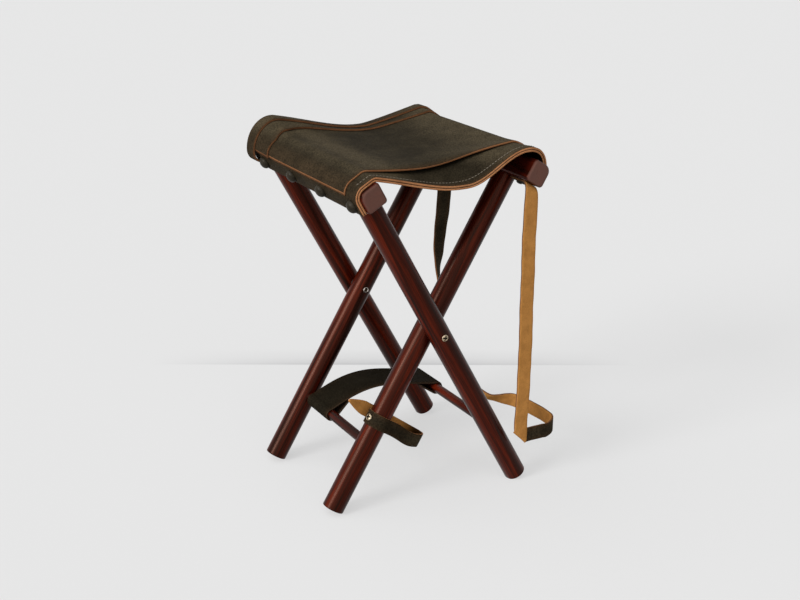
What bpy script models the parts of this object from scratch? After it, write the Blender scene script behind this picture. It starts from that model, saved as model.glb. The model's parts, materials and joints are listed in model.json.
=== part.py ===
"""A folding stool: two crossing dowel frames on one pivot axis, with a leather sling seat.

The outer frame carries the left rail and the inner frame the right rail. +X runs from the
left rail to the right rail, +Y from the front to the back along the rails, +Z up. The feet
stand on z = 0. Sizes are in metres and angles in degrees.
"""

import math

import bmesh
import bpy
import numpy as np
from mathutils import Matrix, Vector

# Frames
LEG_DIAMETER = 0.028
OUTER_TILT = 28.94
INNER_TILT = 31.50
PIVOT_X = -0.0015
PIVOT_HEIGHT = 0.2257
RAIL_HEIGHT = 0.4198
INNER_LEG_Y = 0.0851
LEG_SPACE = 0.0028
FOOT_CHAMFER = 0.0012
FOOT_FLAT = 0.0009
RAIL_SIDE = 0.028
RAIL_LENGTH = 0.293
RAIL_ROUND = 0.004
RAIL_WRAP_ROUND = 0.010
RAIL_END_ROUND = 0.003
TENON_DIAMETER = 0.018
TENON_LENGTH = 0.020
STRETCHER_DIAMETER = 0.0125
STRETCHER_SOCKET = 0.010
OUTER_STRETCHER_DROP = 0.1565
INNER_STRETCHER_DROP = 0.1642

# Pivots
BOLT_DIAMETER = 0.005
BOLT_HEAD_DIAMETER = 0.010
BOLT_HEAD_HEIGHT = 0.0023
BOLT_SEAT_DEPTH = 0.0015
NUT_DIAMETER = 0.0074
NUT_LENGTH = 0.016
NUT_RECESS = 0.004
WASHER_DIAMETER = 0.014
CROSS_LENGTH = 0.0056
CROSS_WIDTH = 0.0012
CROSS_DEPTH = 0.0011

# Seat leather
LEATHER = 0.0027
SEAT_FRONT = -0.142
SEAT_REAR = 0.137
FLAP_DROP = 0.012
FRONT_SAG = 0.0240
MID_SAG = 0.0100
REAR_SAG = 0.0145
FRONT_LOW_X = 0.014
MID_LOW_X = -0.015
REAR_LOW_X = 0.025
LIP_RUN = 0.045
RIGHT_FRONT_LIFT = 0.0095
RIGHT_CREST_IN = 0.0098
RIGHT_FLAP_BACK = 0.010
RIGHT_LIFT = 0.0030
LEFT_REAR_LIFT = 0.0105
LIFT_RUN = 0.080
PANEL_LEFT_IN = 0.023
PANEL_RIGHT_IN = 0.043
PANEL_BRIDGE = 0.0060
STRIP_WIDTH = 0.034
STRIP_FLARE = 0.020
BAND_WIDTH = 0.015
BAND_FLARE = 0.005
REAR_STEP = 0.002

# Dome nails
NAIL_HEAD_DIAMETER = 0.016
NAIL_HEAD_HEIGHT = 0.0070
NAIL_SHANK_DIAMETER = 0.002
NAIL_BITE = 0.010
NAIL_FRONT_IN = 0.0145
NAIL_BAND_GAP = 0.0005
NAIL_UP = -0.001
NAIL_COUNT = 4

# Carry strap, under the right rail
CARRY_WIDTH = 0.0195
CARRY_THICKNESS = 0.0025
CARRY_FRONT_IN = 0.0065
CARRY_REAR_Y = 0.054
CARRY_TAB = 0.034
CARRY_LEG_GAP = 0.0069
CARRY_NAIL_DIAMETER = 0.008
CARRY_NAIL_HEIGHT = 0.0021
CARRY_NAIL_IN = 0.009
CARRY_OUT = 0.003
CARRY_BEND = 0.005
CARRY_FOLD_HEIGHT = 0.0735
CARRY_FOLD_ANGLE = 45.0
CARRY_FOLD_RADIUS = 0.0035

# Closing strap, round the front inner leg
CLOSING_WIDTH = 0.018
CLOSING_THICKNESS = 0.0025
CLOSING_DROP = 0.1320
CLOSING_REACH = 0.072
CLOSING_TURN = 0.005
CLOSING_TAIL = 0.043
CLOSING_POINT = 0.026
CLOSING_RISE = 0.0075
CLOSING_SAG = 0.006
SCREW_HEAD_DIAMETER = 0.010
SCREW_HEAD_HEIGHT = 0.0024
SCREW_DIAMETER = 0.004
SCREW_BITE = 0.012
SCREW_TURN = 10.0

# Spreader strap, round both stretchers
SPREADER_WIDTH = 0.056
SPREADER_THICKNESS = 0.0025
SPREADER_Y = 0.037
SPREADER_RISE = 0.0170
SPREADER_RETURN = 0.026

CLEARANCE = 0.0003
CUT_OVER = 0.004
ROUND_STEPS = 32
SMALL_STEPS = 16
NAIL_STEPS = 12
SHARP_ANGLE = 35.0

WOOD = ((0.085, 0.020, 0.012), 0.32, 0.0)
GRAIN = ((0.058, 0.046, 0.031), 0.55, 0.0)
STEEL = ((0.560, 0.520, 0.400), 0.35, 1.0)
DARK_METAL = ((0.030, 0.027, 0.024), 0.35, 0.6)
FIBRE = ((0.020, 0.018, 0.016), 0.60, 0.0)

OUTER_LEG_Y = INNER_LEG_Y + LEG_DIAMETER + LEG_SPACE
LEG_RADIUS = LEG_DIAMETER / 2
RAIL_HALF = RAIL_SIDE / 2
CARRY_FRONT_Y = -RAIL_LENGTH / 2 + CARRY_FRONT_IN
CARRY_FRONT_END = -INNER_LEG_Y - LEG_RADIUS - CARRY_LEG_GAP
PIVOT = np.array([PIVOT_X, 0.0, PIVOT_HEIGHT])
OUTER = math.radians(-OUTER_TILT)
INNER = math.radians(INNER_TILT)


def unit(v):
    """The vector at length one."""
    v = np.asarray(v, float)
    return v / np.linalg.norm(v)


def frame_axes(turn):
    """A frame's own X and Z axes in the world, after its turn about +Y."""
    across = np.array([math.cos(turn), 0.0, -math.sin(turn)])
    along = np.array([math.sin(turn), 0.0, math.cos(turn)])
    return across, along


def rise(turn):
    """How far along the legs the rail's centre lies from the pivot."""
    return (RAIL_HEIGHT - PIVOT_HEIGHT) / math.cos(turn)


def reach(turn):
    """How far along the legs the foot's end lies below the pivot."""
    low = (LEG_RADIUS - FOOT_CHAMFER) * math.sin(abs(turn))
    return (PIVOT_HEIGHT - low + FOOT_FLAT) / math.cos(turn)


def rail_centre(turn):
    """The rail's centre in the world, at mid length."""
    return PIVOT + rise(turn) * frame_axes(turn)[1]


def smooth(t):
    """An ease from 0 to 1 with level ends."""
    t = np.clip(t, 0.0, 1.0)
    return t * t * (3.0 - 2.0 * t)


def clear_scene():
    for item in list(bpy.data.objects):
        bpy.data.objects.remove(item, do_unlink=True)
    for group in list(bpy.data.collections):
        bpy.data.collections.remove(group)


def collection(name):
    group = bpy.data.collections.new(name)
    bpy.context.scene.collection.children.link(group)
    return group


def finish(name, values):
    """A material from a colour, a roughness and a metallic value."""
    colour, rough, metal = values
    made = bpy.data.materials.new(name)
    made.use_nodes = True
    shader = made.node_tree.nodes["Principled BSDF"]
    shader.inputs["Base Color"].default_value = (*colour, 1.0)
    shader.inputs["Roughness"].default_value = rough
    shader.inputs["Metallic"].default_value = metal
    return made


def empty(name, group, turn):
    """A frame's own empty, on the pivot axis and turned with its legs."""
    item = bpy.data.objects.new(name, None)
    item.location = Vector(PIVOT)
    item.rotation_euler = (0.0, turn, 0.0)
    group.objects.link(item)
    return item


def place(name, mesh, group, values=None, parent=None, matrix=None):
    """Links a mesh as an object, with its own material and its parent."""
    item = bpy.data.objects.new(name, mesh)
    group.objects.link(item)
    if parent is not None:
        item.parent = parent
    if matrix is not None:
        item.matrix_local = matrix
    if values is None:
        item.hide_render = True
        item.display_type = "WIRE"
    else:
        mesh.materials.append(finish(name, values))
    return item


def turned(name, profile, steps, group, values, parent, matrix, closed=False):
    """A turned piece about its own Z, from (radius, height) points down its outer side."""
    mesh = bpy.data.meshes.new(name)
    edges = [(i, i + 1) for i in range(len(profile) - 1)]
    if closed:
        edges.append((len(profile) - 1, 0))
    mesh.from_pydata([(r, 0.0, h) for r, h in profile], edges, [])
    item = place(name, mesh, group, values, parent, matrix)
    spin = item.modifiers.new("turn", "SCREW")
    spin.steps = steps
    spin.render_steps = steps
    spin.use_merge_vertices = True
    spin.merge_threshold = 0.00001
    spin.use_smooth_shade = True
    return item


def block(name, size, group, values, parent, matrix):
    """A plain box."""
    made = bmesh.new()
    bmesh.ops.create_cube(made, size=1.0, matrix=Matrix.Diagonal((*size, 1.0)))
    mesh = bpy.data.meshes.new(name)
    made.to_mesh(mesh)
    made.free()
    return place(name, mesh, group, values, parent, matrix)


def rail_bar(name, outward, group, values, parent, matrix):
    """A square bar along Y with a large round on its upper outer edge and small ones elsewhere."""
    made = bmesh.new()
    size = (RAIL_SIDE, RAIL_LENGTH - 2 * RAIL_END_ROUND, RAIL_SIDE, 1.0)
    bmesh.ops.create_cube(made, size=1.0, matrix=Matrix.Diagonal(size))

    def long_edges(wrap):
        found = []
        for e in made.edges:
            middle = (e.verts[0].co + e.verts[1].co) / 2
            corner = abs(abs(middle.x) - RAIL_HALF) < 1e-7 and abs(abs(middle.z) - RAIL_HALF) < 1e-7
            if corner and (middle.x * outward > 0 and middle.z > 0) == wrap:
                found.append(e)
        return found

    bmesh.ops.bevel(
        made, geom=long_edges(True), offset=RAIL_WRAP_ROUND, segments=6, profile=0.5, affect="EDGES"
    )
    bmesh.ops.bevel(
        made, geom=long_edges(False), offset=RAIL_ROUND, segments=3, profile=0.5, affect="EDGES"
    )
    made.normal_update()
    ends = [f for f in made.faces if abs(f.normal.y) > 0.99]
    half = math.sqrt(0.5) * RAIL_END_ROUND
    for inward, outgoing in ((RAIL_END_ROUND - half, half), (half, RAIL_END_ROUND - half)):
        bmesh.ops.inset_individual(
            made, faces=ends, thickness=inward, depth=outgoing, use_even_offset=True
        )
    mesh = bpy.data.meshes.new(name)
    made.to_mesh(mesh)
    made.free()
    mesh.shade_smooth()
    mesh.set_sharp_from_angle(angle=math.radians(SHARP_ANGLE))
    return place(name, mesh, group, values, parent, matrix)


def cylinders(name, rods, steps, group, parent=None):
    """A cutter of separate rods, each from a start to an end with a diameter."""
    made = bmesh.new()
    for start, end, diameter in rods:
        start = Vector(start)
        end = Vector(end)
        turn = (end - start).to_track_quat("Z", "Y").to_matrix().to_4x4()
        matrix = Matrix.Translation((start + end) / 2) @ turn
        bmesh.ops.create_cone(
            made,
            cap_ends=True,
            segments=steps,
            radius1=diameter / 2,
            radius2=diameter / 2,
            depth=(end - start).length,
            matrix=matrix,
        )
    mesh = bpy.data.meshes.new(name)
    made.to_mesh(mesh)
    made.free()
    return place(name, mesh, group, None, parent)


def cut(item, tool):
    """Takes a cutter out of a piece."""
    change = item.modifiers.new(tool.name, "BOOLEAN")
    change.operation = "DIFFERENCE"
    change.solver = "EXACT"
    change.object = tool


def sheet(name, rows, thickness, side, group, values, parent):
    """A leather sheet: a grid laid on rows of points, thickened to one side or to both."""
    rows = np.asarray(rows)
    across = rows.shape[0] - 1
    along = rows.shape[1] - 1
    made = bmesh.new()
    bmesh.ops.create_grid(made, x_segments=along, y_segments=across, size=0.5)
    for v in made.verts:
        i = int(round((v.co.x + 0.5) * along))
        j = int(round((v.co.y + 0.5) * across))
        v.co = Vector(rows[j, i])
    mesh = bpy.data.meshes.new(name)
    made.to_mesh(mesh)
    made.free()
    mesh.shade_smooth()
    item = place(name, mesh, group, values)
    item.parent = parent
    item.matrix_parent_inverse = parent.matrix_world.inverted()
    thick = item.modifiers.new("thickness", "SOLIDIFY")
    thick.thickness = thickness
    thick.offset = side
    return item


def lying(y_point, toward):
    """A matrix that lays a piece's own +Z along a direction, at a point."""
    turn = Vector(toward).to_track_quat("Z", "Y").to_matrix().to_4x4()
    return Matrix.Translation(Vector(y_point)) @ turn


def make_frame(side, turn, leg_y, drop, empties, parts, tools):
    """Two legs, a rail and a stretcher of one frame, in the frame's own axes."""
    foot = -reach(turn)
    shoulder = rise(turn) - RAIL_HALF - CLEARANCE
    tenon_top = shoulder + TENON_LENGTH
    tenon = TENON_DIAMETER / 2
    profile = [
        (0.0, tenon_top),
        (tenon, tenon_top),
        (tenon, shoulder),
        (LEG_RADIUS, shoulder),
        (LEG_RADIUS, foot + FOOT_CHAMFER),
        (LEG_RADIUS - FOOT_CHAMFER, foot),
        (0.0, foot),
    ]
    legs = []
    for end, sign in (("front", -1), ("rear", 1)):
        spot = Matrix.Translation((0.0, sign * leg_y, 0.0))
        legs.append(turned(f"leg_{end}_{side}", profile, ROUND_STEPS, parts, WOOD, empties, spot))
    at_rail = Matrix.Translation((0.0, 0.0, rise(turn)))
    name, outward = {"outer": ("rail_left", -1), "inner": ("rail_right", 1)}[side]
    rail = rail_bar(name, outward, parts, WOOD, empties, at_rail)
    sockets = []
    for sign in (-1, 1):
        low = (0.0, sign * leg_y, shoulder - CUT_OVER)
        high = (0.0, sign * leg_y, tenon_top + CLEARANCE)
        sockets.append((low, high, TENON_DIAMETER + 2 * CLEARANCE))
    cut(rail, cylinders(f"cut_sockets_{side}", sockets, ROUND_STEPS, tools, empties))
    half = leg_y - LEG_RADIUS + STRETCHER_SOCKET
    rod = STRETCHER_DIAMETER / 2
    bar = [
        (0.0, half - CLEARANCE),
        (rod, half - CLEARANCE),
        (rod, -half + CLEARANCE),
        (0.0, -half + CLEARANCE),
    ]
    matrix = lying((0.0, 0.0, -drop), (0.0, 1.0, 0.0))
    turned(f"stretcher_{side}", bar, SMALL_STEPS, parts, WOOD, empties, matrix)
    hole = ((0.0, -half, -drop), (0.0, half, -drop), STRETCHER_DIAMETER + 2 * CLEARANCE)
    socket = cylinders(f"cut_stretcher_{side}", [hole], SMALL_STEPS * 2, tools, empties)
    size = (4 * LEG_DIAMETER, 4 * RAIL_LENGTH, LEG_DIAMETER)
    floor = block(f"cut_floor_{side}", size, tools, None, None, None)
    floor.location = (PIVOT_X - math.sin(turn) * reach(turn), 0.0, -LEG_DIAMETER / 2)
    for leg in legs:
        cut(leg, socket)
        cut(leg, floor)
    return legs, rail


def make_pivots(outer_legs, inner_legs, empties, parts, tools):
    """A bolt, a sleeve nut and a washer where each pair of legs crosses."""
    seat = OUTER_LEG_Y + LEG_RADIUS - BOLT_SEAT_DEPTH
    inside = INNER_LEG_Y - LEG_RADIUS
    bore = BOLT_DIAMETER + 2 * CLEARANCE
    spaces = {}
    for sign in (-1, 1):
        through = ((0, sign * (inside - CUT_OVER), 0), (0, sign * (seat + CUT_OVER), 0), bore)
        head = ((0, sign * seat, 0), (0, sign * (seat + CUT_OVER), 0), BOLT_HEAD_DIAMETER + 2 * CLEARANCE)
        deep = inside + NUT_LENGTH + CLEARANCE
        sleeve = ((0, sign * (inside - CUT_OVER), 0), (0, sign * deep, 0), NUT_DIAMETER + 2 * CLEARANCE)
        spaces[sign] = (through, head, sleeve)
    for index, (end, sign) in enumerate((("front", -1), ("rear", 1))):
        through, head, sleeve = spaces[sign]
        cut(outer_legs[index], cylinders(f"cut_bolt_{end}_outer", [through], SMALL_STEPS, tools, empties))
        cut(outer_legs[index], cylinders(f"cut_head_{end}", [head], SMALL_STEPS * 2, tools, empties))
        cut(inner_legs[index], cylinders(f"cut_bolt_{end}_inner", [through], SMALL_STEPS, tools, empties))
        cut(inner_legs[index], cylinders(f"cut_sleeve_{end}", [sleeve], SMALL_STEPS, tools, empties))
        under = seat + CLEARANCE
        radius = BOLT_HEAD_DIAMETER / 2
        shank = BOLT_DIAMETER / 2
        tip = inside + NUT_RECESS
        bolt = [
            (0.0, under + BOLT_HEAD_HEIGHT),
            (radius * 0.55, under + BOLT_HEAD_HEIGHT * 0.93),
            (radius * 0.85, under + BOLT_HEAD_HEIGHT * 0.72),
            (radius, under + BOLT_HEAD_HEIGHT * 0.40),
            (radius, under),
            (shank, under),
            (shank, tip),
            (0.0, tip),
        ]
        matrix = lying((0.0, 0.0, 0.0), (0.0, sign, 0.0))
        made = turned(f"pivot_bolt_{end}", bolt, SMALL_STEPS, parts, STEEL, empties, matrix)
        for number, long in enumerate(((CROSS_LENGTH, CROSS_WIDTH), (CROSS_WIDTH, CROSS_LENGTH))):
            size = (long[0], 2 * CROSS_DEPTH, long[1])
            spot = Matrix.Translation((0.0, sign * (under + BOLT_HEAD_HEIGHT), 0.0))
            cut(made, block(f"cut_cross_{end}_{number}", size, tools, None, empties, spot))
        nut = NUT_DIAMETER / 2
        ring = bore / 2
        sleeve_nut = [
            (nut, inside + NUT_LENGTH),
            (nut, inside + CLEARANCE),
            (ring, inside + CLEARANCE),
            (ring, inside + NUT_LENGTH),
        ]
        turned(f"pivot_nut_{end}", sleeve_nut, SMALL_STEPS, parts, STEEL, empties, matrix, True)
        near = INNER_LEG_Y + LEG_RADIUS + CLEARANCE
        far = OUTER_LEG_Y - LEG_RADIUS - CLEARANCE
        wide = WASHER_DIAMETER / 2
        washer = [(wide, far), (wide, near), (ring, near), (ring, far)]
        turned(f"pivot_washer_{end}", washer, SMALL_STEPS, parts, FIBRE, empties, matrix, True)


def arc(centre, radius, start, end, count):
    """Points on an arc from one direction to another, both given as angles in the XZ plane."""
    angles = np.linspace(start, end, count + 1)
    return [centre + radius * np.array([math.cos(a), 0.0, math.sin(a)]) for a in angles]


def arch(start, crest, count):
    """Points on a quarter of an ellipse, upright at its start and level at its crest."""
    angles = np.linspace(0.0, math.pi / 2, count + 1)
    x = crest[0] + (start[0] - crest[0]) * np.cos(angles)
    z = start[2] + (crest[2] - start[2]) * np.sin(angles)
    return [np.array([p, 0.0, q]) for p, q in zip(x, z)]


FLAP_STEPS = 2
CORNER_STEPS = 4
CROWN_STEPS = 2
TOP_STEPS = 2
SPAN_STEPS = 16
SEAT_ROWS = 12


def seat_line(y, bridge):
    """The sling's underside across the stool at one y, from the left flap to the right flap.

    Each end lies on a rail's outer face, goes over the rail, and the span sags between them. It
    arches off the right rail at the front and off the left rail at the rear. The front and rear
    edges droop lower than the middle, and the right flap's front edge is set back. With bridge, the
    front half is lifted, where the panel's front edge spans above the sling.
    """
    from_front = y - SEAT_FRONT
    from_rear = SEAT_REAR - y
    depth = SEAT_REAR - SEAT_FRONT
    front_lip = smooth(1.0 - from_front / LIP_RUN)
    rear_lip = smooth(1.0 - from_rear / LIP_RUN)
    to_front = smooth(1.0 - from_front / LIFT_RUN)
    to_rear = smooth(1.0 - from_rear / LIFT_RUN)
    left_free = (to_rear, 0.0, LEFT_REAR_LIFT)
    right_free = (to_front, -RIGHT_CREST_IN, RIGHT_FRONT_LIFT)
    sides = {}
    crowns = []
    for side, sign, turn, lift, free, leave, back in (
        ("left", -1.0, OUTER, 0.0, left_free, 14.0, 0.0),
        ("right", 1.0, INNER, RIGHT_LIFT, right_free, 5.0, RIGHT_FLAP_BACK),
    ):
        across, along = frame_axes(turn)
        out = across * sign
        centre = rail_centre(turn)
        wide = RAIL_HALF - RAIL_WRAP_ROUND
        bottom = centre + out * (RAIL_HALF + CLEARANCE) - along * FLAP_DROP
        edge = centre + out * (RAIL_HALF + CLEARANCE) + along * wide
        flap = [bottom + (edge - bottom) * k / FLAP_STEPS for k in range(FLAP_STEPS)]
        out_angle = math.atan2(out[2], out[0]) % (2 * math.pi)
        up_angle = math.atan2(along[2], along[0])
        first = centre + (out + along) * wide
        second = centre + (along - out) * (RAIL_HALF - RAIL_ROUND)
        if side == "right" and out_angle > math.pi:
            out_angle -= 2 * math.pi
        corner = arc(first, RAIL_WRAP_ROUND + CLEARANCE, out_angle, up_angle, CORNER_STEPS)
        crown_start = second + along * (RAIL_ROUND + CLEARANCE)
        top = [corner[-1] + (crown_start - corner[-1]) * k / TOP_STEPS for k in range(1, TOP_STEPS)]
        tip = math.radians(90.0 - leave) if side == "left" else math.radians(90.0 + leave)
        crown = arc(second, RAIL_ROUND + CLEARANCE, up_angle, tip, CROWN_STEPS)
        wrap = flap + corner + top + crown
        run = np.concatenate([[0.0], np.cumsum(np.linalg.norm(np.diff(wrap, axis=0), axis=1))])
        share = smooth((run - run[FLAP_STEPS]) / (run[-1] - run[FLAP_STEPS]))
        crowns.append(wrap[-1][2])
        level = math.pi if side == "left" else 0.0
        lower = arc(first, RAIL_WRAP_ROUND + CLEARANCE, out_angle, level, 2)
        crest = wrap[-1] + np.array([free[1], 0.0, free[2]])
        steps = len(wrap) - FLAP_STEPS - 3
        loose = wrap[:FLAP_STEPS] + lower[:2] + arch(lower[2], crest, steps)
        set_back = back * free[0] * (1.0 - smooth((np.arange(len(wrap)) - FLAP_STEPS - 2) / steps))
        wrap = [p + np.array([0.0, 0.0, lift * s]) for p, s in zip(wrap, share)]
        wrap = [p + (q - p) * free[0] for p, q in zip(wrap, loose)]
        sides[side] = [p + np.array([0.0, y_back, 0.0]) for p, y_back in zip(wrap, set_back)]
    left = sides["left"]
    right = sides["right"][::-1]
    plain_x = MID_LOW_X + (REAR_LOW_X - MID_LOW_X) * smooth(from_front / depth)
    low_x = PIVOT_X + plain_x + (FRONT_LOW_X - plain_x) * front_lip
    crown_z = min(crowns)
    low_z = crown_z - MID_SAG - (FRONT_SAG - MID_SAG) * front_lip - (REAR_SAG - MID_SAG) * rear_lip
    over = PANEL_BRIDGE * smooth(1.0 - 2.0 * from_front / depth) if bridge else 0.0
    span = []
    for k in range(1, SPAN_STEPS):
        part = k / SPAN_STEPS
        x = left[-1][0] + (right[0][0] - left[-1][0]) * part
        if x < low_x:
            s = (low_x - x) / (low_x - left[-1][0])
            z = low_z + (left[-1][2] - low_z) * (0.7 * s**1.3 + 0.3 * smooth(s))
        else:
            s = (x - low_x) / (right[0][0] - low_x)
            bend = s**1.1 + (smooth(s) - s**1.1) * to_front
            z = low_z + (right[0][2] - low_z) * bend
        z += over * math.sin(math.pi * part) ** 1.5
        span.append(np.array([x, 0.0, z]))
    return np.array(left + span + right)


def seat_stations():
    """Places from front to rear where the seat's shape is drawn, closer together near both edges."""
    share = 0.5 - 0.5 * np.cos(math.pi * np.arange(SEAT_ROWS + 1) / SEAT_ROWS)
    return SEAT_FRONT + (SEAT_REAR - SEAT_FRONT) * share


def layer_rows(level, start, stop, first, last, bridge):
    """Rows of points on the underside of a seat layer, from the station before its start to its stop."""
    stations = seat_stations()
    lines = []
    for y in stations:
        line = seat_line(y, bridge)
        slope = np.gradient(line, axis=0)
        slope[:, 1] = 0.0
        slope /= np.linalg.norm(slope, axis=1)[:, None]
        up = np.stack([-slope[:, 2], 0 * slope[:, 0], slope[:, 0]], axis=1)
        line = line + up * np.reshape(level, (-1, 1)) * (LEATHER + CLEARANCE)
        line[:, 1] += y
        lines.append(line[first : last + 1])
    lines = np.array(lines)
    begin = max(0, np.searchsorted(stations, start) - 1)
    rows = [line for line, y in zip(lines[begin:], stations[begin:]) if y < stop - CLEARANCE]
    low = min(np.searchsorted(stations, stop) - 1, SEAT_ROWS - 1)
    part = (stop - stations[low]) / (stations[low + 1] - stations[low])
    return np.array(rows + [lines[low] + (lines[low + 1] - lines[low]) * part])


def edge_tool(name, left, right, flare, tools):
    """A cutter in front of a layer's front edge, which runs from a left y to a right y.

    The edge is straight, and a flare brings its left end forward.
    """
    line = seat_line(0.0, False)
    start = line[0][0] - RAIL_SIDE
    end = line[-1][0] + RAIL_SIDE
    made = bmesh.new()
    corners = [(end, -RAIL_LENGTH), (start, -RAIL_LENGTH)]
    for x in np.linspace(start, end, 25):
        share = np.clip((x - line[0][0]) / (line[-1][0] - line[0][0]), 0.0, 1.0)
        y = left + (right - left) * share - flare * max(0.0, 1.0 - 4.0 * share) ** 2
        corners.append((x, y))
    low = RAIL_HEIGHT - 2 * RAIL_SIDE
    face = made.faces.new([made.verts.new((x, y, low)) for x, y in corners])
    grown = bmesh.ops.extrude_face_region(made, geom=[face])
    tops = [v for v in grown["geom"] if isinstance(v, bmesh.types.BMVert)]
    bmesh.ops.translate(made, verts=tops, vec=(0.0, 0.0, 5 * RAIL_SIDE))
    bmesh.ops.recalc_face_normals(made, faces=made.faces[:])
    mesh = bpy.data.meshes.new(name)
    made.to_mesh(mesh)
    made.free()
    return place(name, mesh, tools)


def make_seat(outer, inner, rails, legs, parts, tools):
    """The doubled sling, the panel, the strip and the band, and the nails through the flaps."""
    front = SEAT_FRONT
    rear = SEAT_REAR
    count = len(seat_line(0.0, False)) - 1
    end = FLAP_STEPS + 1
    strip = rear - STRIP_WIDTH
    band = rear - BAND_WIDTH
    column = np.arange(count + 1)
    over_rail = np.minimum(column, count - column)
    band_level = 2.0 + 2.0 * smooth((over_rail - 1.0) / (end - 1.0))
    panel = (front + PANEL_LEFT_IN, front + PANEL_RIGHT_IN)
    layers = (
        ("sling_lower", 0, front, rear, 0, count, False),
        ("sling_upper", 1, front, rear, 0, count, False),
        ("seat_panel", 2, min(panel), rear - REAR_STEP, end, count - end, True),
        ("rear_strip", 3, strip - STRIP_FLARE, rear - REAR_STEP, end, count - end, True),
        ("rear_band", band_level, band - BAND_FLARE, rear, 1, count - 1, True),
    )
    made = {}
    for name, level, start, stop, first, last, bridge in layers:
        rows = layer_rows(level, start, stop, first, last, bridge)
        made[name] = sheet(name, rows, LEATHER, 1.0, parts, GRAIN, outer)
    cut(made["seat_panel"], edge_tool("cut_panel_edge", *panel, 0.0, tools))
    cut(made["rear_strip"], edge_tool("cut_strip_edge", strip, strip, STRIP_FLARE, tools))
    cut(made["rear_band"], edge_tool("cut_band_edge", band, band, BAND_FLARE, tools))
    stack = RAIL_HALF + CLEARANCE + 2 * (LEATHER + CLEARANCE)
    radius = NAIL_HEAD_DIAMETER / 2
    shank = NAIL_SHANK_DIAMETER / 2
    length = stack - RAIL_HALF + NAIL_BITE
    head = [
        (0.0, NAIL_HEAD_HEIGHT),
        (radius * 0.50, NAIL_HEAD_HEIGHT * 0.86),
        (radius * 0.87, NAIL_HEAD_HEIGHT * 0.48),
        (radius, 0.0003),
        (radius * 0.93, 0.0),
        (shank, 0.0),
        (shank, -length + 2 * shank),
        (0.0, -length),
    ]
    first_y = front + NAIL_FRONT_IN
    last_y = band - BAND_FLARE - radius - NAIL_BAND_GAP
    for side, turn, parent, sign, back in (
        ("left", OUTER, outer, -1, 0.0),
        ("right", INNER, inner, 1, RIGHT_FLAP_BACK),
    ):
        rods = []
        step = (last_y - first_y - back) / (NAIL_COUNT - 1)
        for k in range(NAIL_COUNT):
            y = first_y + back + k * step
            up = rise(turn) + NAIL_UP
            at = (sign * stack, y, up)
            matrix = lying(at, (sign, 0.0, 0.0))
            turned(f"nail_{side}_{k + 1}", head, NAIL_STEPS, parts, DARK_METAL, parent, matrix)
            start = (sign * (stack + CUT_OVER), y, up)
            stop = (sign * (RAIL_HALF - NAIL_BITE - CLEARANCE), y, up)
            rods.append((start, stop, NAIL_SHANK_DIAMETER + 2 * CLEARANCE))
        tool = cylinders(f"cut_nails_{side}", rods, NAIL_STEPS, tools, parent)
        for piece in (rails[side], *legs[side], made["sling_lower"], made["sling_upper"]):
            cut(piece, tool)


def through_points(points, count):
    """A smooth curve through points, sampled evenly by length (Catmull-Rom)."""
    points = np.asarray(points, float)
    ends = np.concatenate([[2 * points[0] - points[1]], points, [2 * points[-1] - points[-2]]])
    fine = []
    for k in range(len(points) - 1):
        a, b, c, d = ends[k : k + 4]
        square = 2 * a - 5 * b + 4 * c - d
        cube = 3 * b - a - 3 * c + d
        for t in np.linspace(0.0, 1.0, 24, endpoint=False):
            fine.append(b + 0.5 * ((c - a) * t + square * t**2 + cube * t**3))
    fine.append(points[-1])
    fine = np.array(fine)
    run = np.concatenate([[0.0], np.cumsum(np.linalg.norm(np.diff(fine[:, :3], axis=0), axis=1))])
    at = np.linspace(0.0, run[-1], count + 1)
    return np.stack([np.interp(at, run, fine[:, k]) for k in range(fine.shape[1])], axis=1)


def plan(degrees):
    """A level width direction at an angle from +X toward +Y."""
    a = math.radians(degrees)
    return (math.cos(a), math.sin(a), 0.0)


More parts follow.
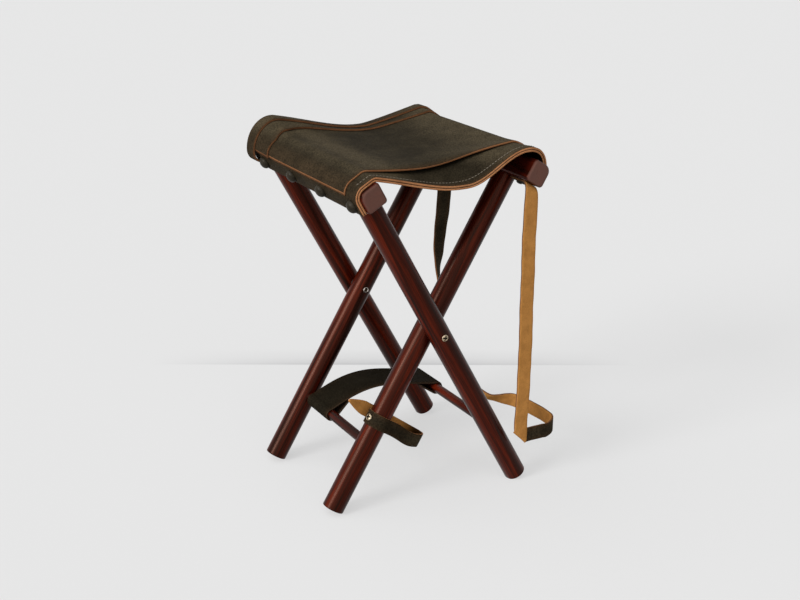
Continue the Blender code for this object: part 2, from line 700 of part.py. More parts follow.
def carry_rows():
    """Rows of points across the carry strap, from its front nail round to its rear nail.

    It leaves the rail's underside, hangs plumb, folds over a slanting line so that its other
    face shows, turns toward the back standing on edge, and rises with a twist to the rear nail.
    """
    across, along = frame_axes(INNER)
    face = rail_centre(INNER) - along * (RAIL_HALF + CLEARANCE + CARRY_THICKNESS / 2) + across * CARRY_OUT
    half = CARRY_WIDTH / 2
    columns = np.linspace(-half, half, 4)
    fold_x = face[0] - 0.0020
    rows = []

    def ribbon(points, count):
        for p in through_points(points, count):
            rows.append([p[:3] + unit(p[3:6]) * w for w in columns])

    def tab(y_nail, y_bend, sign):
        start = face + np.array([0.0, y_nail, 0.0])
        stop = face + np.array([0.0, y_bend - sign * CARRY_BEND, 0.0])
        return [(*(start + (stop - start) * k / 3), *across) for k in range(4)]

    front = CARRY_FRONT_Y
    drop = [
        (face[0], front + 0.0012, face[2] - 0.0040, *unit(across * 0.9 + np.array([0.10, 0, 0]))),
        (face[0], front, face[2] - 0.012, *unit(across * 0.7 + np.array([0.30, 0, 0]))),
        (face[0] - 0.0005, front, face[2] - 0.035, *unit(across * 0.2 + np.array([0.80, 0, 0]))),
        (face[0] - 0.0010, front, face[2] - 0.075, 1.0, 0.0, 0.0),
        (face[0] - 0.0005, front, 0.24, 1.0, 0.0, 0.0),
        (face[0], front, 0.165, 1.0, 0.0, 0.0),
        (fold_x, front, CARRY_FOLD_HEIGHT + 2 * half, 1.0, 0.0, 0.0),
    ]
    ribbon(tab(CARRY_FRONT_END, front, -1) + drop, 26)

    beta = math.radians(CARRY_FOLD_ANGLE)
    line = np.array([math.cos(beta), 0.0, -math.sin(beta)])
    past = np.array([-math.sin(beta), 0.0, -math.cos(beta)])
    back = np.array([0.0, 1.0, 0.0])
    centre = np.array([fold_x, front, CARRY_FOLD_HEIGHT])
    radius = CARRY_FOLD_RADIUS

    def folded(w, s):
        flat = np.array([w, 0.0, -s])
        a = flat @ line
        b = flat @ past
        turn = np.clip(b / radius, 0.0, math.pi)
        beyond = max(0.0, b - math.pi * radius)
        spot = centre + a * line + radius * (1 - math.cos(turn)) * back
        return spot + (min(b, 0.0) + radius * math.sin(turn) - beyond) * past

    fold_end = 2.2 * half + math.pi * radius / math.cos(beta)
    for s in np.linspace(-1.6 * half, fold_end, 15):
        rows.append([folded(w, s) for w in columns])
    leave = folded(0.0, fold_end)
    heading = np.array([math.sin(2 * beta), 0.0, math.cos(2 * beta)])
    down = np.array([math.cos(2 * beta), 0.0, -math.sin(2 * beta)])
    x = face[0] - 0.0026
    rail_z = face[2]
    onward = [
        (*leave, *down),
        (*(leave + heading * 0.010), *down),
        (x + 0.0490, front + 0.0090, 0.0640, 0.0, 0.0, -1.0),
        (x + 0.0600, front + 0.0140, 0.0650, 0.0, 0.0, -1.0),
        (x + 0.0675, front + 0.0225, 0.0660, 0.0, 0.0, -1.0),
        (x + 0.0700, front + 0.0330, 0.0663, 0.0, 0.0, -1.0),
        (x + 0.0698, front + 0.0560, 0.0670, 0.0, 0.0, -1.0),
        (x + 0.0668, front + 0.0750, 0.0675, 0.0, 0.0, -1.0),
        (x + 0.0603, front + 0.0980, 0.0685, 0.0, 0.1, -1.0),
        (x + 0.0513, front + 0.1080, 0.0690, 0.1, 0.35, -0.9),
        (x + 0.0420, front + 0.1160, 0.0700, 0.2, 0.60, -0.7),
        (x + 0.0300, front + 0.1230, 0.0730, 0.2, 0.75, -0.6),
        (x + 0.0195, front + 0.1430, 0.0850, 0.2, 0.85, -0.5),
        (x + 0.0120, front + 0.1600, 0.1000, 0.2, 0.95, -0.35),
        (x + 0.0020, front + 0.1720, 0.1280, *plan(92)),
        (x - 0.0025, front + 0.1840, 0.1560, *plan(90)),
        (x - 0.0035, front + 0.1910, 0.1840, *plan(82)),
        (x - 0.0030, front + 0.1960, 0.2110, *plan(66)),
        (x - 0.0030, front + 0.2020, 0.2385, *plan(44)),
        (x - 0.0025, front + 0.2015, 0.2670, *plan(18)),
        (x - 0.0015, front + 0.1995, 0.2960, *plan(5)),
        (x - 0.0000, front + 0.1970, 0.3250, *plan(-6)),
        (x + 0.0005, CARRY_REAR_Y + 0.0005, 0.3535, *plan(-8)),
        (x, CARRY_REAR_Y, rail_z - 0.030, *unit(across * 0.3 + np.array([0.7, 0, 0]))),
        (x, CARRY_REAR_Y, rail_z - 0.012, *unit(across * 0.7 + np.array([0.3, 0, 0]))),
        (x, CARRY_REAR_Y - 0.0012, rail_z - 0.0040, *unit(across * 0.9 + np.array([0.1, 0, 0]))),
    ]
    rear_tab = tab(CARRY_REAR_Y - CARRY_TAB, CARRY_REAR_Y, 1)[::-1]
    first = len(rows)
    ribbon(onward + rear_tab, 56)
    del rows[first]
    return rows


def small_nail(name, point, toward, through, group, parent):
    """A dome nail whose shank goes down through a strap into the wood."""
    radius = CARRY_NAIL_DIAMETER / 2
    shank = NAIL_SHANK_DIAMETER / 2
    length = through + NAIL_BITE
    head = [
        (0.0, CARRY_NAIL_HEIGHT),
        (radius * 0.55, CARRY_NAIL_HEIGHT * 0.86),
        (radius * 0.9, CARRY_NAIL_HEIGHT * 0.43),
        (radius, 0.0),
        (shank, 0.0),
        (shank, -length + 2 * shank),
        (0.0, -length),
    ]
    return turned(name, head, NAIL_STEPS, group, DARK_METAL, parent, lying(point, toward))


def make_carry_strap(inner, rail, parts, tools):
    """The carry strap and a nail at each of its ends, under the right rail."""
    rows = np.swapaxes(np.array(carry_rows()), 0, 1)
    strap = sheet("carry_strap", rows, CARRY_THICKNESS, 0.0, parts, GRAIN, inner)
    through = CARRY_THICKNESS + 2 * CLEARANCE
    under = rise(INNER) - RAIL_HALF - through
    rods = []
    spots = (
        ("front", CARRY_FRONT_END - CARRY_NAIL_IN),
        ("rear", CARRY_REAR_Y - CARRY_TAB + CARRY_NAIL_IN),
    )
    for end, y in spots:
        point = (CARRY_OUT, y, under)
        small_nail(f"carry_nail_{end}", point, (0.0, 0.0, -1.0), through, parts, inner)
        low = (CARRY_OUT, y, under - CUT_OVER)
        high = (CARRY_OUT, y, under + through + NAIL_BITE + CLEARANCE)
        rods.append((low, high, NAIL_SHANK_DIAMETER + 2 * CLEARANCE))
    tool = cylinders("cut_carry_nails", rods, NAIL_STEPS, tools, inner)
    cut(strap, tool)
    cut(rail, tool)


def closing_line():
    """The closing strap's centreline round the leg, in the inner frame's own axes.

    It starts behind the screw, goes round the leg's front, out to a turn, back behind the leg
    and on to a pointed tail. Each point is (x, y, z).
    """
    ring = LEG_RADIUS + CLEARANCE + CLOSING_THICKNESS / 2
    centre_x = CLOSING_REACH - CLOSING_TURN
    bend = CLOSING_TURN
    lean = math.asin((ring - bend) / centre_x)
    points = []
    for a in np.linspace(math.radians(150), math.radians(270) + lean, 13):
        points.append((ring * math.cos(a), ring * math.sin(a)))
    start = points[-1]
    turn = [
        (centre_x + bend * math.cos(a), bend * math.sin(a))
        for a in np.linspace(-math.pi / 2 + lean, math.pi / 2 - lean, 9)
    ]
    for k in range(1, 5):
        points.append(tuple(np.array(start) + (np.array(turn[0]) - np.array(start)) * k / 5))
    points += turn
    back = [
        (ring * math.cos(a), ring * math.sin(a))
        for a in np.linspace(math.pi / 2 - lean, math.pi / 2, 3)
    ]
    for k in range(1, 5):
        points.append(tuple(np.array(turn[-1]) + (np.array(back[0]) - np.array(turn[-1])) * k / 5))
    points += back
    for k in range(1, 8):
        points.append((-CLOSING_TAIL * k / 7, ring))
    points = np.array(points)
    run = np.concatenate([[0.0], np.cumsum(np.linalg.norm(np.diff(points, axis=0), axis=1))])
    along = run / run[-1]
    far = along[13 + 4 + 4]
    dip = np.where(along < far, -0.4 * smooth(along / far), 0.0)
    climb = np.where(along < far, 0.0, -0.4 + 1.4 * (along - far) / (1 - far))
    begin = along[12]
    droop = np.sin(math.pi * np.clip((along - begin) / (far - begin), 0.0, 1.0)) ** 2
    z = -CLOSING_DROP + CLOSING_RISE * (dip + climb) - CLOSING_SAG * droop
    tail = run[-1] - run
    return np.stack([points[:, 0], -INNER_LEG_Y + points[:, 1], z], axis=1), tail


def make_closing_strap(inner, leg, parts, tools):
    """The closing strap and the screw that holds it to the front inner leg."""
    line, tail = closing_line()
    half = CLOSING_WIDTH / 2
    narrow = half * np.minimum(1.0, 0.15 + 0.85 * tail / CLOSING_POINT)
    across, along = frame_axes(INNER)
    middle = PIVOT + line[:, :1] * across + line[:, 1:2] * np.array([0.0, 1.0, 0.0]) + line[:, 2:] * along
    rows = [middle + (share * narrow)[:, None] * along for share in (-1.0, 0.0, 1.0)]
    strap = sheet("closing_strap", rows, CLOSING_THICKNESS, 0.0, parts, GRAIN, inner)
    turn = math.radians(180.0 + SCREW_TURN)
    out = np.array([math.cos(turn), math.sin(turn), 0.0])
    base = np.array([0.0, -INNER_LEG_Y, -CLOSING_DROP])
    through = CLOSING_THICKNESS + 2 * CLEARANCE
    under = LEG_RADIUS + through
    radius = SCREW_HEAD_DIAMETER / 2
    shank = SCREW_DIAMETER / 2
    length = through + SCREW_BITE
    head = [
        (0.0, SCREW_HEAD_HEIGHT),
        (radius * 0.55, SCREW_HEAD_HEIGHT * 0.92),
        (radius * 0.85, SCREW_HEAD_HEIGHT * 0.70),
        (radius, SCREW_HEAD_HEIGHT * 0.35),
        (radius, 0.0),
        (shank, 0.0),
        (shank, -length + shank),
        (0.0, -length),
    ]
    matrix = lying(base + out * under, out)
    screw = turned("closing_screw", head, SMALL_STEPS, parts, STEEL, inner, matrix)
    for number, long in enumerate(((CROSS_LENGTH, CROSS_WIDTH), (CROSS_WIDTH, CROSS_LENGTH))):
        size = (long[0], long[1], 2 * CROSS_DEPTH)
        spot = matrix @ Matrix.Translation((0.0, 0.0, SCREW_HEAD_HEIGHT))
        cut(screw, block(f"cut_cross_screw_{number}", size, tools, None, inner, spot))
    start = base + out * (under + CUT_OVER)
    stop = base + out * (LEG_RADIUS - SCREW_BITE - CLEARANCE)
    rod = (start, stop, SCREW_DIAMETER + 2 * CLEARANCE)
    tool = cylinders("cut_closing_screw", [rod], SMALL_STEPS, tools, inner)
    cut(strap, tool)
    cut(leg, tool)


def spreader_line():
    """The spreader strap's centreline in the XZ plane: a loop, an arch and a loop."""
    ring = STRETCHER_DIAMETER / 2 + CLEARANCE + SPREADER_THICKNESS / 2
    left = PIVOT - frame_axes(INNER)[1] * INNER_STRETCHER_DROP
    right = PIVOT - frame_axes(OUTER)[1] * OUTER_STRETCHER_DROP
    left_top = left + ring * np.array([0.0, 0.0, 1.0])
    right_top = right + ring * np.array([0.0, 0.0, 1.0])

    def arch(x):
        t = (x - left_top[0]) / (right_top[0] - left_top[0])
        bow = SPREADER_RISE * math.sin(math.pi * t**0.8) ** 1.3
        return left_top[2] + (right_top[2] - left_top[2]) * t + bow

    under = SPREADER_THICKNESS + 2 * CLEARANCE
    ends = []
    for centre, sign in ((left, 1), (right, -1)):
        x = centre[0] + sign * SPREADER_RETURN
        tip = np.array([x, 0.0, arch(x) - under * 1.15])
        gap = tip - centre
        away = math.hypot(gap[0], gap[2])
        toward = math.atan2(gap[2], gap[0])
        ends.append((tip, toward - sign * math.acos(ring / away)))
    left_loop = arc(left, ring, ends[0][1], math.pi / 2 - 2 * math.pi, 12)
    right_loop = arc(right, ring, math.pi / 2, ends[1][1] - 2 * math.pi, 12)
    xs = np.linspace(left_top[0], right_top[0], 15)[1:-1]
    middle = [np.array([x, 0.0, arch(x)]) for x in xs]
    first = [ends[0][0] + (left_loop[0] - ends[0][0]) * k / 3 for k in range(3)]
    last = [right_loop[-1] + (ends[1][0] - right_loop[-1]) * k / 3 for k in range(1, 4)]
    return np.array(first + left_loop + middle + right_loop + last)


def make_spreader(outer, parts):
    """The wide strap that joins the two stretchers near the rear legs."""
    line = spreader_line()
    places = np.linspace(SPREADER_Y - SPREADER_WIDTH / 2, SPREADER_Y + SPREADER_WIDTH / 2, 4)
    rows = [line + np.array([0.0, y, 0.0]) for y in places]
    sheet("spreader_strap", rows, SPREADER_THICKNESS, 0.0, parts, GRAIN, outer)


def main():
    clear_scene()
    parts = collection("leather_seat_stool")
    tools = collection("cutters")
    outer = empty("outer_frame", parts, OUTER)
    inner = empty("inner_frame", parts, INNER)
    bpy.context.view_layer.update()
    outer_legs, left = make_frame("outer", OUTER, OUTER_LEG_Y, OUTER_STRETCHER_DROP, outer, parts, tools)
    inner_legs, right = make_frame("inner", INNER, INNER_LEG_Y, INNER_STRETCHER_DROP, inner, parts, tools)
    make_pivots(outer_legs, inner_legs, outer, parts, tools)
    rails = {"left": left, "right": right}
    legs = {"left": outer_legs, "right": inner_legs}
    make_seat(outer, inner, rails, legs, parts, tools)
    make_carry_strap(inner, right, parts, tools)
    make_closing_strap(inner, inner_legs[0], parts, tools)
    make_spreader(outer, parts)
    bpy.context.view_layer.update()


main()
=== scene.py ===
"""A folding stool with a nailed leather seat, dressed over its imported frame.

Lengths are in metres. +X runs from the left rail to the right rail, +Y from the front to the
back along the rails, +Z up. The feet stand on z = 0.
"""

import json
import math

import bpy
import numpy as np
from mathutils import Matrix, Vector


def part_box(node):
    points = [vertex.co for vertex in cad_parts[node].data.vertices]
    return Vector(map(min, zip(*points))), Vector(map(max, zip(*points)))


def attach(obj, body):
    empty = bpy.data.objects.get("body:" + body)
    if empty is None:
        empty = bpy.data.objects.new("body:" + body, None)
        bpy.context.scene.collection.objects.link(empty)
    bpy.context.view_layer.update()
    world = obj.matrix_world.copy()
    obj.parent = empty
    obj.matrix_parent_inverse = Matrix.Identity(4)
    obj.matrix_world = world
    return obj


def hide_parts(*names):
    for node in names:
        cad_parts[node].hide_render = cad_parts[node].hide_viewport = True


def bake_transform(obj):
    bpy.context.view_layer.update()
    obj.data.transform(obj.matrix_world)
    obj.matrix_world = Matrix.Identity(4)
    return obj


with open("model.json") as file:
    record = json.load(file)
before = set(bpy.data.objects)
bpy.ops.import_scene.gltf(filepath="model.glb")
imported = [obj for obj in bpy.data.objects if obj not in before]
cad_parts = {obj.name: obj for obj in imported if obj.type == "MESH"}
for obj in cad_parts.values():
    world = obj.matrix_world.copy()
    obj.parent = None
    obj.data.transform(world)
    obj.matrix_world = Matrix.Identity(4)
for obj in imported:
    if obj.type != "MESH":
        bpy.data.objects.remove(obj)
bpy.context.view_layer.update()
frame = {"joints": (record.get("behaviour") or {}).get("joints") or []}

bl_info = {
    "name": "Folding leather stool",
    "version": (1, 0, 0),
    "blender": (4, 5, 0),
    "location": "View3D > Sidebar > Stool",
    "description": "Builds the leather, wood and metal of a folding stool over its frame",
    "category": "Add Mesh",
}

PIVOT = np.array(frame["joints"][0]["pos_m"], float)
RAIL_LOW, RAIL_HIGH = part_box("rail_left")
ALONG_RAIL = np.array([0.0, 1.0, 0.0])
UP = np.array([0.0, 0.0, 1.0])

# The view: focal length and shifts in pixels of a picture VIEW_WIDTH wide, roll in degrees, eye and aim.
VIEW_WIDTH = 800
VIEW_FOCUS = 1256.845
VIEW_SHIFT = (7.649, 5.892)
VIEW_ROLL = 0.103
EYE = Vector((PIVOT[0] - 0.76298, -1.33139, 0.79711))
AIM = Vector((PIVOT[0], 0.0, 0.22571))

# The floor: half its side, its drop under the feet, the share of its tone that glows where it is seen,
# and the share that it throws back as light.
FLOOR_HALF = 9.0
FLOOR_DROP = 0.0004
FLOOR_GLOW = 0.70
FLOOR_BOUNCE = 0.55
# The sky's tint, and its strength as a light. Where it is seen it has the floor's tone.
SKY_TINT = (0.985, 0.992, 1.0, 1.0)
SKY_LIGHT = 0.13
# The line at the floor's edge, a band of painted shade: distance and share of its grey, and where it fades to
# the sides.
LINE_STOPS = ((0.3330, 0.0), (0.3350, 1.0), (0.3420, 0.62), (0.3620, 0.28), (0.400, 0.0))
LINE_FADE = (0.10, 0.39)
# Suns: name, where they stand, strength and spread in degrees.
SUNS = (
    ("key", (-0.35, 0.05, 0.90), 1.35, 70.0),
    ("glint", (-0.89, -0.11, 0.44), 2.4, 22.0),
    ("fill", (-0.40, -0.88, 0.32), 1.3, 90.0),
)

# Wood: how much paler the rails' end faces are drawn, depth of a sleeve nut's hole, and how deep a stretcher
# enters a leg.
END_FACE_PALENESS = 0.8
NUT_HOLE = 0.012
STRETCHER_SUNK = 0.004

# Leather: share of the thickness left at a cut edge, and how far in the rubbing reaches.
EDGE_SHARE = 0.80
RUB_REACH = 0.004
# The seat: how far the laid-over layers' ends are skived, the rubbing over the rails (strength, half
# width in u) and a band of painted sheen near the left rail (strength, place and half width over the seat).
SKIVE = 0.9
CROWN_RUB = (0.45, 0.20)
SHEEN_BAND = (1.35, 0.15, 0.10)
# The carry strap's slight waves (height, length, phase) and how far from its ends they stop.
CARRY_WAVES = ((0.00035, 0.083, 0.0), (0.00025, 0.031, 1.0))
CARRY_CALM = 0.05
# The closing strap: the reach of the painted shade inside its turn, the darkening of its tail
# (strength, length, fade), and its screw's place and twist.
TURN_SHADE_REACH = 0.034
TAIL_DARKENING = (0.22, 0.045, 0.010)
SCREW_ANGLE = math.radians(190.0)
SCREW_TWIST = 0.35
# The seam: its ends in u, the step from stitch to stitch in stitches, and the thread's radius.
SEAM_ENDS = (0.62, 2.40)
STITCH_STEP = 1.32
THREAD = 0.00055
# The finish of each layer's cut edge.
SEAT_EDGES = {
    "sling_lower": "edge", "sling_upper": "edge", "seat_panel": "panel_edge",
    "rear_strip": "worn_edge", "rear_band": "worn_edge",
}


def size(label, words, value):
    """A length that a user may change."""
    return bpy.props.FloatProperty(name=label, description=words, default=value, unit="LENGTH", precision=5)


def tilt(label, words, degrees):
    """An angle that a user may change."""
    return bpy.props.FloatProperty(
        name=label, description=words, default=math.radians(degrees), subtype="ANGLE", unit="ROTATION"
    )


def colour(label, words, value):
    """A colour that a user may change, in linear light."""
    return bpy.props.FloatVectorProperty(
        name=label, description=words, default=value, size=3, min=0.0, max=1.0, subtype="COLOR"
    )


class StoolFrameSizes(bpy.types.PropertyGroup):
    """Sizes of the two wooden frames and their fasteners."""

    leg: size("Leg", "Diameter of a leg", 0.028)
    outer_tilt: tilt("Outer tilt", "Lean of the outer frame", 28.94)
    inner_tilt: tilt("Inner tilt", "Lean of the inner frame", 31.50)
    inner_leg_y: size("Inner leg", "Distance of an inner leg from the middle", 0.0851)
    outer_leg_y: size("Outer leg", "Distance of an outer leg from the middle", 0.1159)
    foot_chamfer: size("Foot chamfer", "Broken edge round a foot", 0.0012)
    foot_flat: size("Foot flat", "Depth that the floor takes off a foot", 0.0009)
    rail_height: size("Rail height", "Height of the rails' centres", 0.4198)
    rail_length: size("Rail length", "Length of a rail", RAIL_HIGH.y - RAIL_LOW.y)
    rail_side: size("Rail side", "Side of a rail", 0.028)
    rail_round: size("Rail round", "Round of a rail's plain edges", 0.004)
    rail_wrap_round: size("Rail wrap round", "Round of the edge the leather goes over", 0.010)
    rail_end_round: size("Rail end round", "Round of a rail's ends", 0.003)
    stretcher: size("Stretcher", "Diameter of a stretcher", 0.0125)
    outer_drop: size("Outer stretcher", "How far below the pivot, along the leg", 0.1565)
    inner_drop: size("Inner stretcher", "How far below the pivot, along the leg", 0.1642)
    bolt_head: size("Bolt head", "Diameter of a bolt head", 0.0088)
    bolt_height: size("Bolt height", "Height of a bolt head", 0.0023)
    bolt_seat: size("Bolt seat", "How deep a bolt head is let in", 0.0015)
    screw_head: size("Screw head", "Diameter of the closing strap's screw head", 0.0088)
    screw_height: size("Screw height", "Height of the closing strap's screw head", 0.0024)
    nut: size("Sleeve nut", "Diameter of a sleeve nut", 0.0074)
    nut_bore: size("Sleeve bore", "Bore of a sleeve nut", 0.0056)
    nut_length: size("Sleeve length", "Length of a sleeve nut", 0.016)
    nut_recess: size("Sleeve recess", "How far the bolt's tip lies inside the sleeve", 0.004)
    washer: size("Washer", "Diameter of a spacing washer", 0.014)
    cross_length: size("Cross length", "Length of a driver's cross", 0.0070)
    cross_width: size("Cross width", "Width of a driver's cross", 0.0018)
    cross_depth: size("Cross depth", "Depth of a driver's cross", 0.0014)
    gap: size("Gap", "Room left between touching pieces", 0.0003)


class StoolLeatherSizes(bpy.types.PropertyGroup):
    """Sizes of the seat, its nails and the straps."""

    leather: size("Leather", "Thickness of the seat leather", 0.0027)
    front: size("Seat front", "Where the seat begins along the rails", -0.142)
    rear: size("Seat rear", "Where the seat ends along the rails", 0.137)
    flap: size("Flap", "Drop of a flap below the rail's centre", 0.012)
    front_sag: size("Front sag", "Sag of the front edge", 0.0240)
    mid_sag: size("Middle sag", "Sag in the middle", 0.0100)
    rear_sag: size("Rear sag", "Sag of the rear edge", 0.0145)
    front_low: size("Front low", "Where the front edge hangs lowest", 0.014)
    mid_low: size("Middle low", "Where the middle hangs lowest", -0.015)
    rear_low: size("Rear low", "Where the rear edge hangs lowest", 0.025)
    lip: size("Lip", "How far in an edge droops", 0.045)
    right_front_lift: size("Right lift", "Rise off the right rail at the front", 0.0095)
    right_crest: size("Right crest", "How far in from the rail's edge the front crest lies", 0.0098)
    right_back: size("Right set back", "How far the right flap's front edge is set back", 0.010)
    right_lift: size("Right rest", "Rise off the right rail elsewhere", 0.0030)
    left_rear_lift: size("Left lift", "Rise off the left rail at the rear", 0.0105)
    lift_run: size("Lift run", "How far in a lift reaches", 0.080)
    panel_left: size("Panel left", "Panel's edge behind the seat's front, left", 0.023)
    panel_right: size("Panel right", "Panel's edge behind the seat's front, right", 0.043)
    panel_bridge: size("Panel bridge", "Rise of the panel's front edge over the sling", 0.0060)
    strip: size("Strip", "Width of the rear strip", 0.034)
    strip_flare: size("Strip flare", "How far the strip's left end comes forward", 0.020)
    band: size("Band", "Width of the rear band", 0.015)
    band_flare: size("Band flare", "How far the band's left end comes forward", 0.005)
    rear_step: size("Rear step", "Step between the layers' rear edges", 0.002)
    seam_in: size("Seam", "Distance of the front seam from the edge", 0.0095)
    stitch: size("Stitch", "Length of a stitch", 0.0034)
    nail: size("Nail", "Diameter of a dome nail", 0.016)
    nail_height: size("Nail height", "Height of a dome nail", 0.0070)
    nail_front: size("Nail front", "First nail behind the seat's front", 0.0145)
    nail_gap: size("Nail gap", "Last nail in front of the rear band", 0.0005)
    nail_up: size("Nail up", "Height of the nails above the rail's centre", -0.001)
    carry_width: size("Carry width", "Width of the carry strap", 0.0195)
    carry_thick: size("Carry thickness", "Thickness of the carry strap", 0.0025)
    carry_front: size("Carry front", "Where the strap leaves the rail at the front", -0.140)
    carry_rear: size("Carry rear", "Where the strap leaves the rail at the rear", 0.054)
    carry_tab: size("Carry tab", "Length of a strap end under the rail", 0.034)
    carry_nail_in: size("Carry nail", "Nail from a strap end", 0.009)
    carry_nail: size("Carry nail head", "Diameter of a carry strap nail", 0.008)
    carry_nail_height: size("Carry nail height", "Height of a carry strap nail", 0.0021)
    carry_out: size("Carry out", "Offset of the strap from the rail's middle", 0.003)
    carry_bend: size("Carry bend", "Where a strap end begins to turn down", 0.005)
    carry_fold: size("Carry fold", "Height of the strap's fold", 0.0735)
    carry_fold_round: size("Carry fold round", "Radius of the strap's fold", 0.0035)
    closing_width: size("Closing width", "Width of the closing strap", 0.018)
    closing_thick: size("Closing thickness", "Thickness of the closing strap", 0.0025)
    closing_drop: size("Closing drop", "How far below the pivot, along the leg", 0.1320)
    closing_reach: size("Closing reach", "Reach of the loop from the leg", 0.072)
    closing_turn: size("Closing turn", "Radius of the loop's end", 0.006)
    closing_tail: size("Closing tail", "Length of the tail past the leg", 0.043)
    closing_point: size("Closing point", "Length of the tail's point", 0.026)
    closing_rise: size("Closing rise", "Rise from loop to tail", 0.0075)
    closing_sag: size("Closing sag", "Sag of the loop's front run", 0.004)
    spreader_width: size("Spreader width", "Width of the spreader strap", 0.056)
    spreader_thick: size("Spreader thickness", "Thickness of the spreader strap", 0.0025)
    spreader_y: size("Spreader place", "Middle of the spreader strap along the stretchers", 0.037)
    spreader_rise: size("Spreader rise", "Rise of the strap between the stretchers", 0.0170)
    spreader_return: size("Spreader return", "How far a loop's end comes back", 0.026)


class StoolColours(bpy.types.PropertyGroup):
    """Colours of the finishes."""

    wood_dark: colour("Wood, dark", "Dark streaks of the stained wood", (0.0085, 0.0016, 0.0007))
    wood: colour("Wood", "Body of the stained wood", (0.037, 0.0034, 0.0011))
    wood_red: colour("Wood, red", "Red streaks of the stained wood", (0.098, 0.0100, 0.0026))
    # The rails' end faces are drawn in this paler colour.
    wood_end: colour("Wood, end", "Paler end grain of the rails", (0.155, 0.0770, 0.0600))
    grain_dark: colour("Leather, dark", "Dark patches of the grain side", (0.0145, 0.0114, 0.0070))
    grain: colour("Leather", "Grain side of the leather", (0.0265, 0.0212, 0.0130))
    grain_lit: colour("Leather, light", "Rubbed patches of the grain side", (0.050, 0.0395, 0.0240))
    # Painted sheen: this paler tone is laid where the seat rises toward the rails and in a band near the left
    # rail, in place of the lamps' soft highlight.
    handled: colour("Leather, handled", "Paler leather over the rails", (0.088, 0.0690, 0.0410))
    rubbed: colour("Leather, rubbed", "Brown along edges and bends", (0.066, 0.037, 0.018))
    flesh: colour("Flesh", "Golden inner side of the straps", (0.565, 0.260, 0.070))
    flesh_dark: colour("Flesh, dark", "Specks on the inner side", (0.27, 0.112, 0.028))
    edge: colour("Raw edge", "Tan of a cut edge", (0.50, 0.225, 0.100))
    edge_dark: colour("Raw edge, dark", "Dark fibres of a cut edge", (0.22, 0.080, 0.030))
    worn_edge: colour("Worn edge", "Brown of a rubbed edge", (0.200, 0.088, 0.040))
    waxed_edge: colour("Waxed edge", "Dark edge of the spreader strap", (0.060, 0.038, 0.024))
    # Painted shade: a dark brown laid on flesh sides that face down, where the golden flesh would lie in
    # shade.
    under: colour("Underside", "Underside of the sling", (0.030, 0.018, 0.011))
    thread: colour("Thread", "Thread of the seam", (0.170, 0.135, 0.095))
    plated: colour("Plated metal", "Sleeve nuts", (0.82, 0.75, 0.69))
    tarnished: colour("Tarnished metal", "Heads of the bolts and the screw", (0.44, 0.35, 0.24))
    nail: colour("Nail", "Blackened nails", (0.019, 0.0155, 0.0100))
    washer: colour("Washer", "Fibre washers", (0.020, 0.018, 0.016))
    floor: colour("Floor", "Pale floor", (0.791, 0.791, 0.791))
    # Painted shade: the grey of the line along the floor's far edge, standing in for shade at the foot of a
    # backdrop.
    line: colour("Line", "Grey just behind the floor's edge", (0.560, 0.560, 0.565))


def smooth(t):
    """An ease from 0 to 1 with level ends: 3 t squared less 2 t cubed."""
    t = np.clip(t, 0.0, 1.0)
    return t * t * (3.0 - 2.0 * t)


def unit(v):
    """Vectors at length one."""
    v = np.asarray(v, float)
    return v / np.linalg.norm(v, axis=-1, keepdims=True)


def run_of(points):
    """Length along a row of points, from its first one."""
    steps = np.linalg.norm(np.diff(points, axis=0), axis=1)
    return np.concatenate([[0.0], np.cumsum(steps)])


def resampled(line, run, at):
    """Points of a line at lengths along it, straight between its own points."""
    return np.stack([np.interp(at, run, line[:, k]) for k in range(line.shape[1])], axis=1)


def frame_axes(turn):
    """A frame's own X and Z in the world, after its turn about +Y."""
    across = np.array([math.cos(turn), 0.0, -math.sin(turn)])
    along = np.array([math.sin(turn), 0.0, math.cos(turn)])
    return across, along


def in_world(turn, local):
    """Points given in a frame's own axes, from the pivot, moved to the world."""
    across, along = frame_axes(turn)
    local = np.asarray(local, float)
    return PIVOT + local[..., :1] * across + local[..., 1:2] * ALONG_RAIL + local[..., 2:3] * along


def turn_of(s, side):
    """A frame's turn: the outer one leans left and the inner one right."""
    return -s.outer_tilt if side == "outer" else s.inner_tilt


def rise(s, turn):
    """How far along the legs the rail's centre lies from the pivot."""
    return (s.rail_height - PIVOT[2]) / math.cos(turn)


def reach(s, turn):
    """How far along the legs a foot's end lies below the pivot."""
    low = (s.leg / 2 - s.foot_chamfer) * math.sin(abs(turn))
    return (PIVOT[2] - low + s.foot_flat) / math.cos(turn)


def rail_centre(s, turn):
    """A rail's centre in the world, at mid length."""
    return PIVOT + rise(s, turn) * frame_axes(turn)[1]


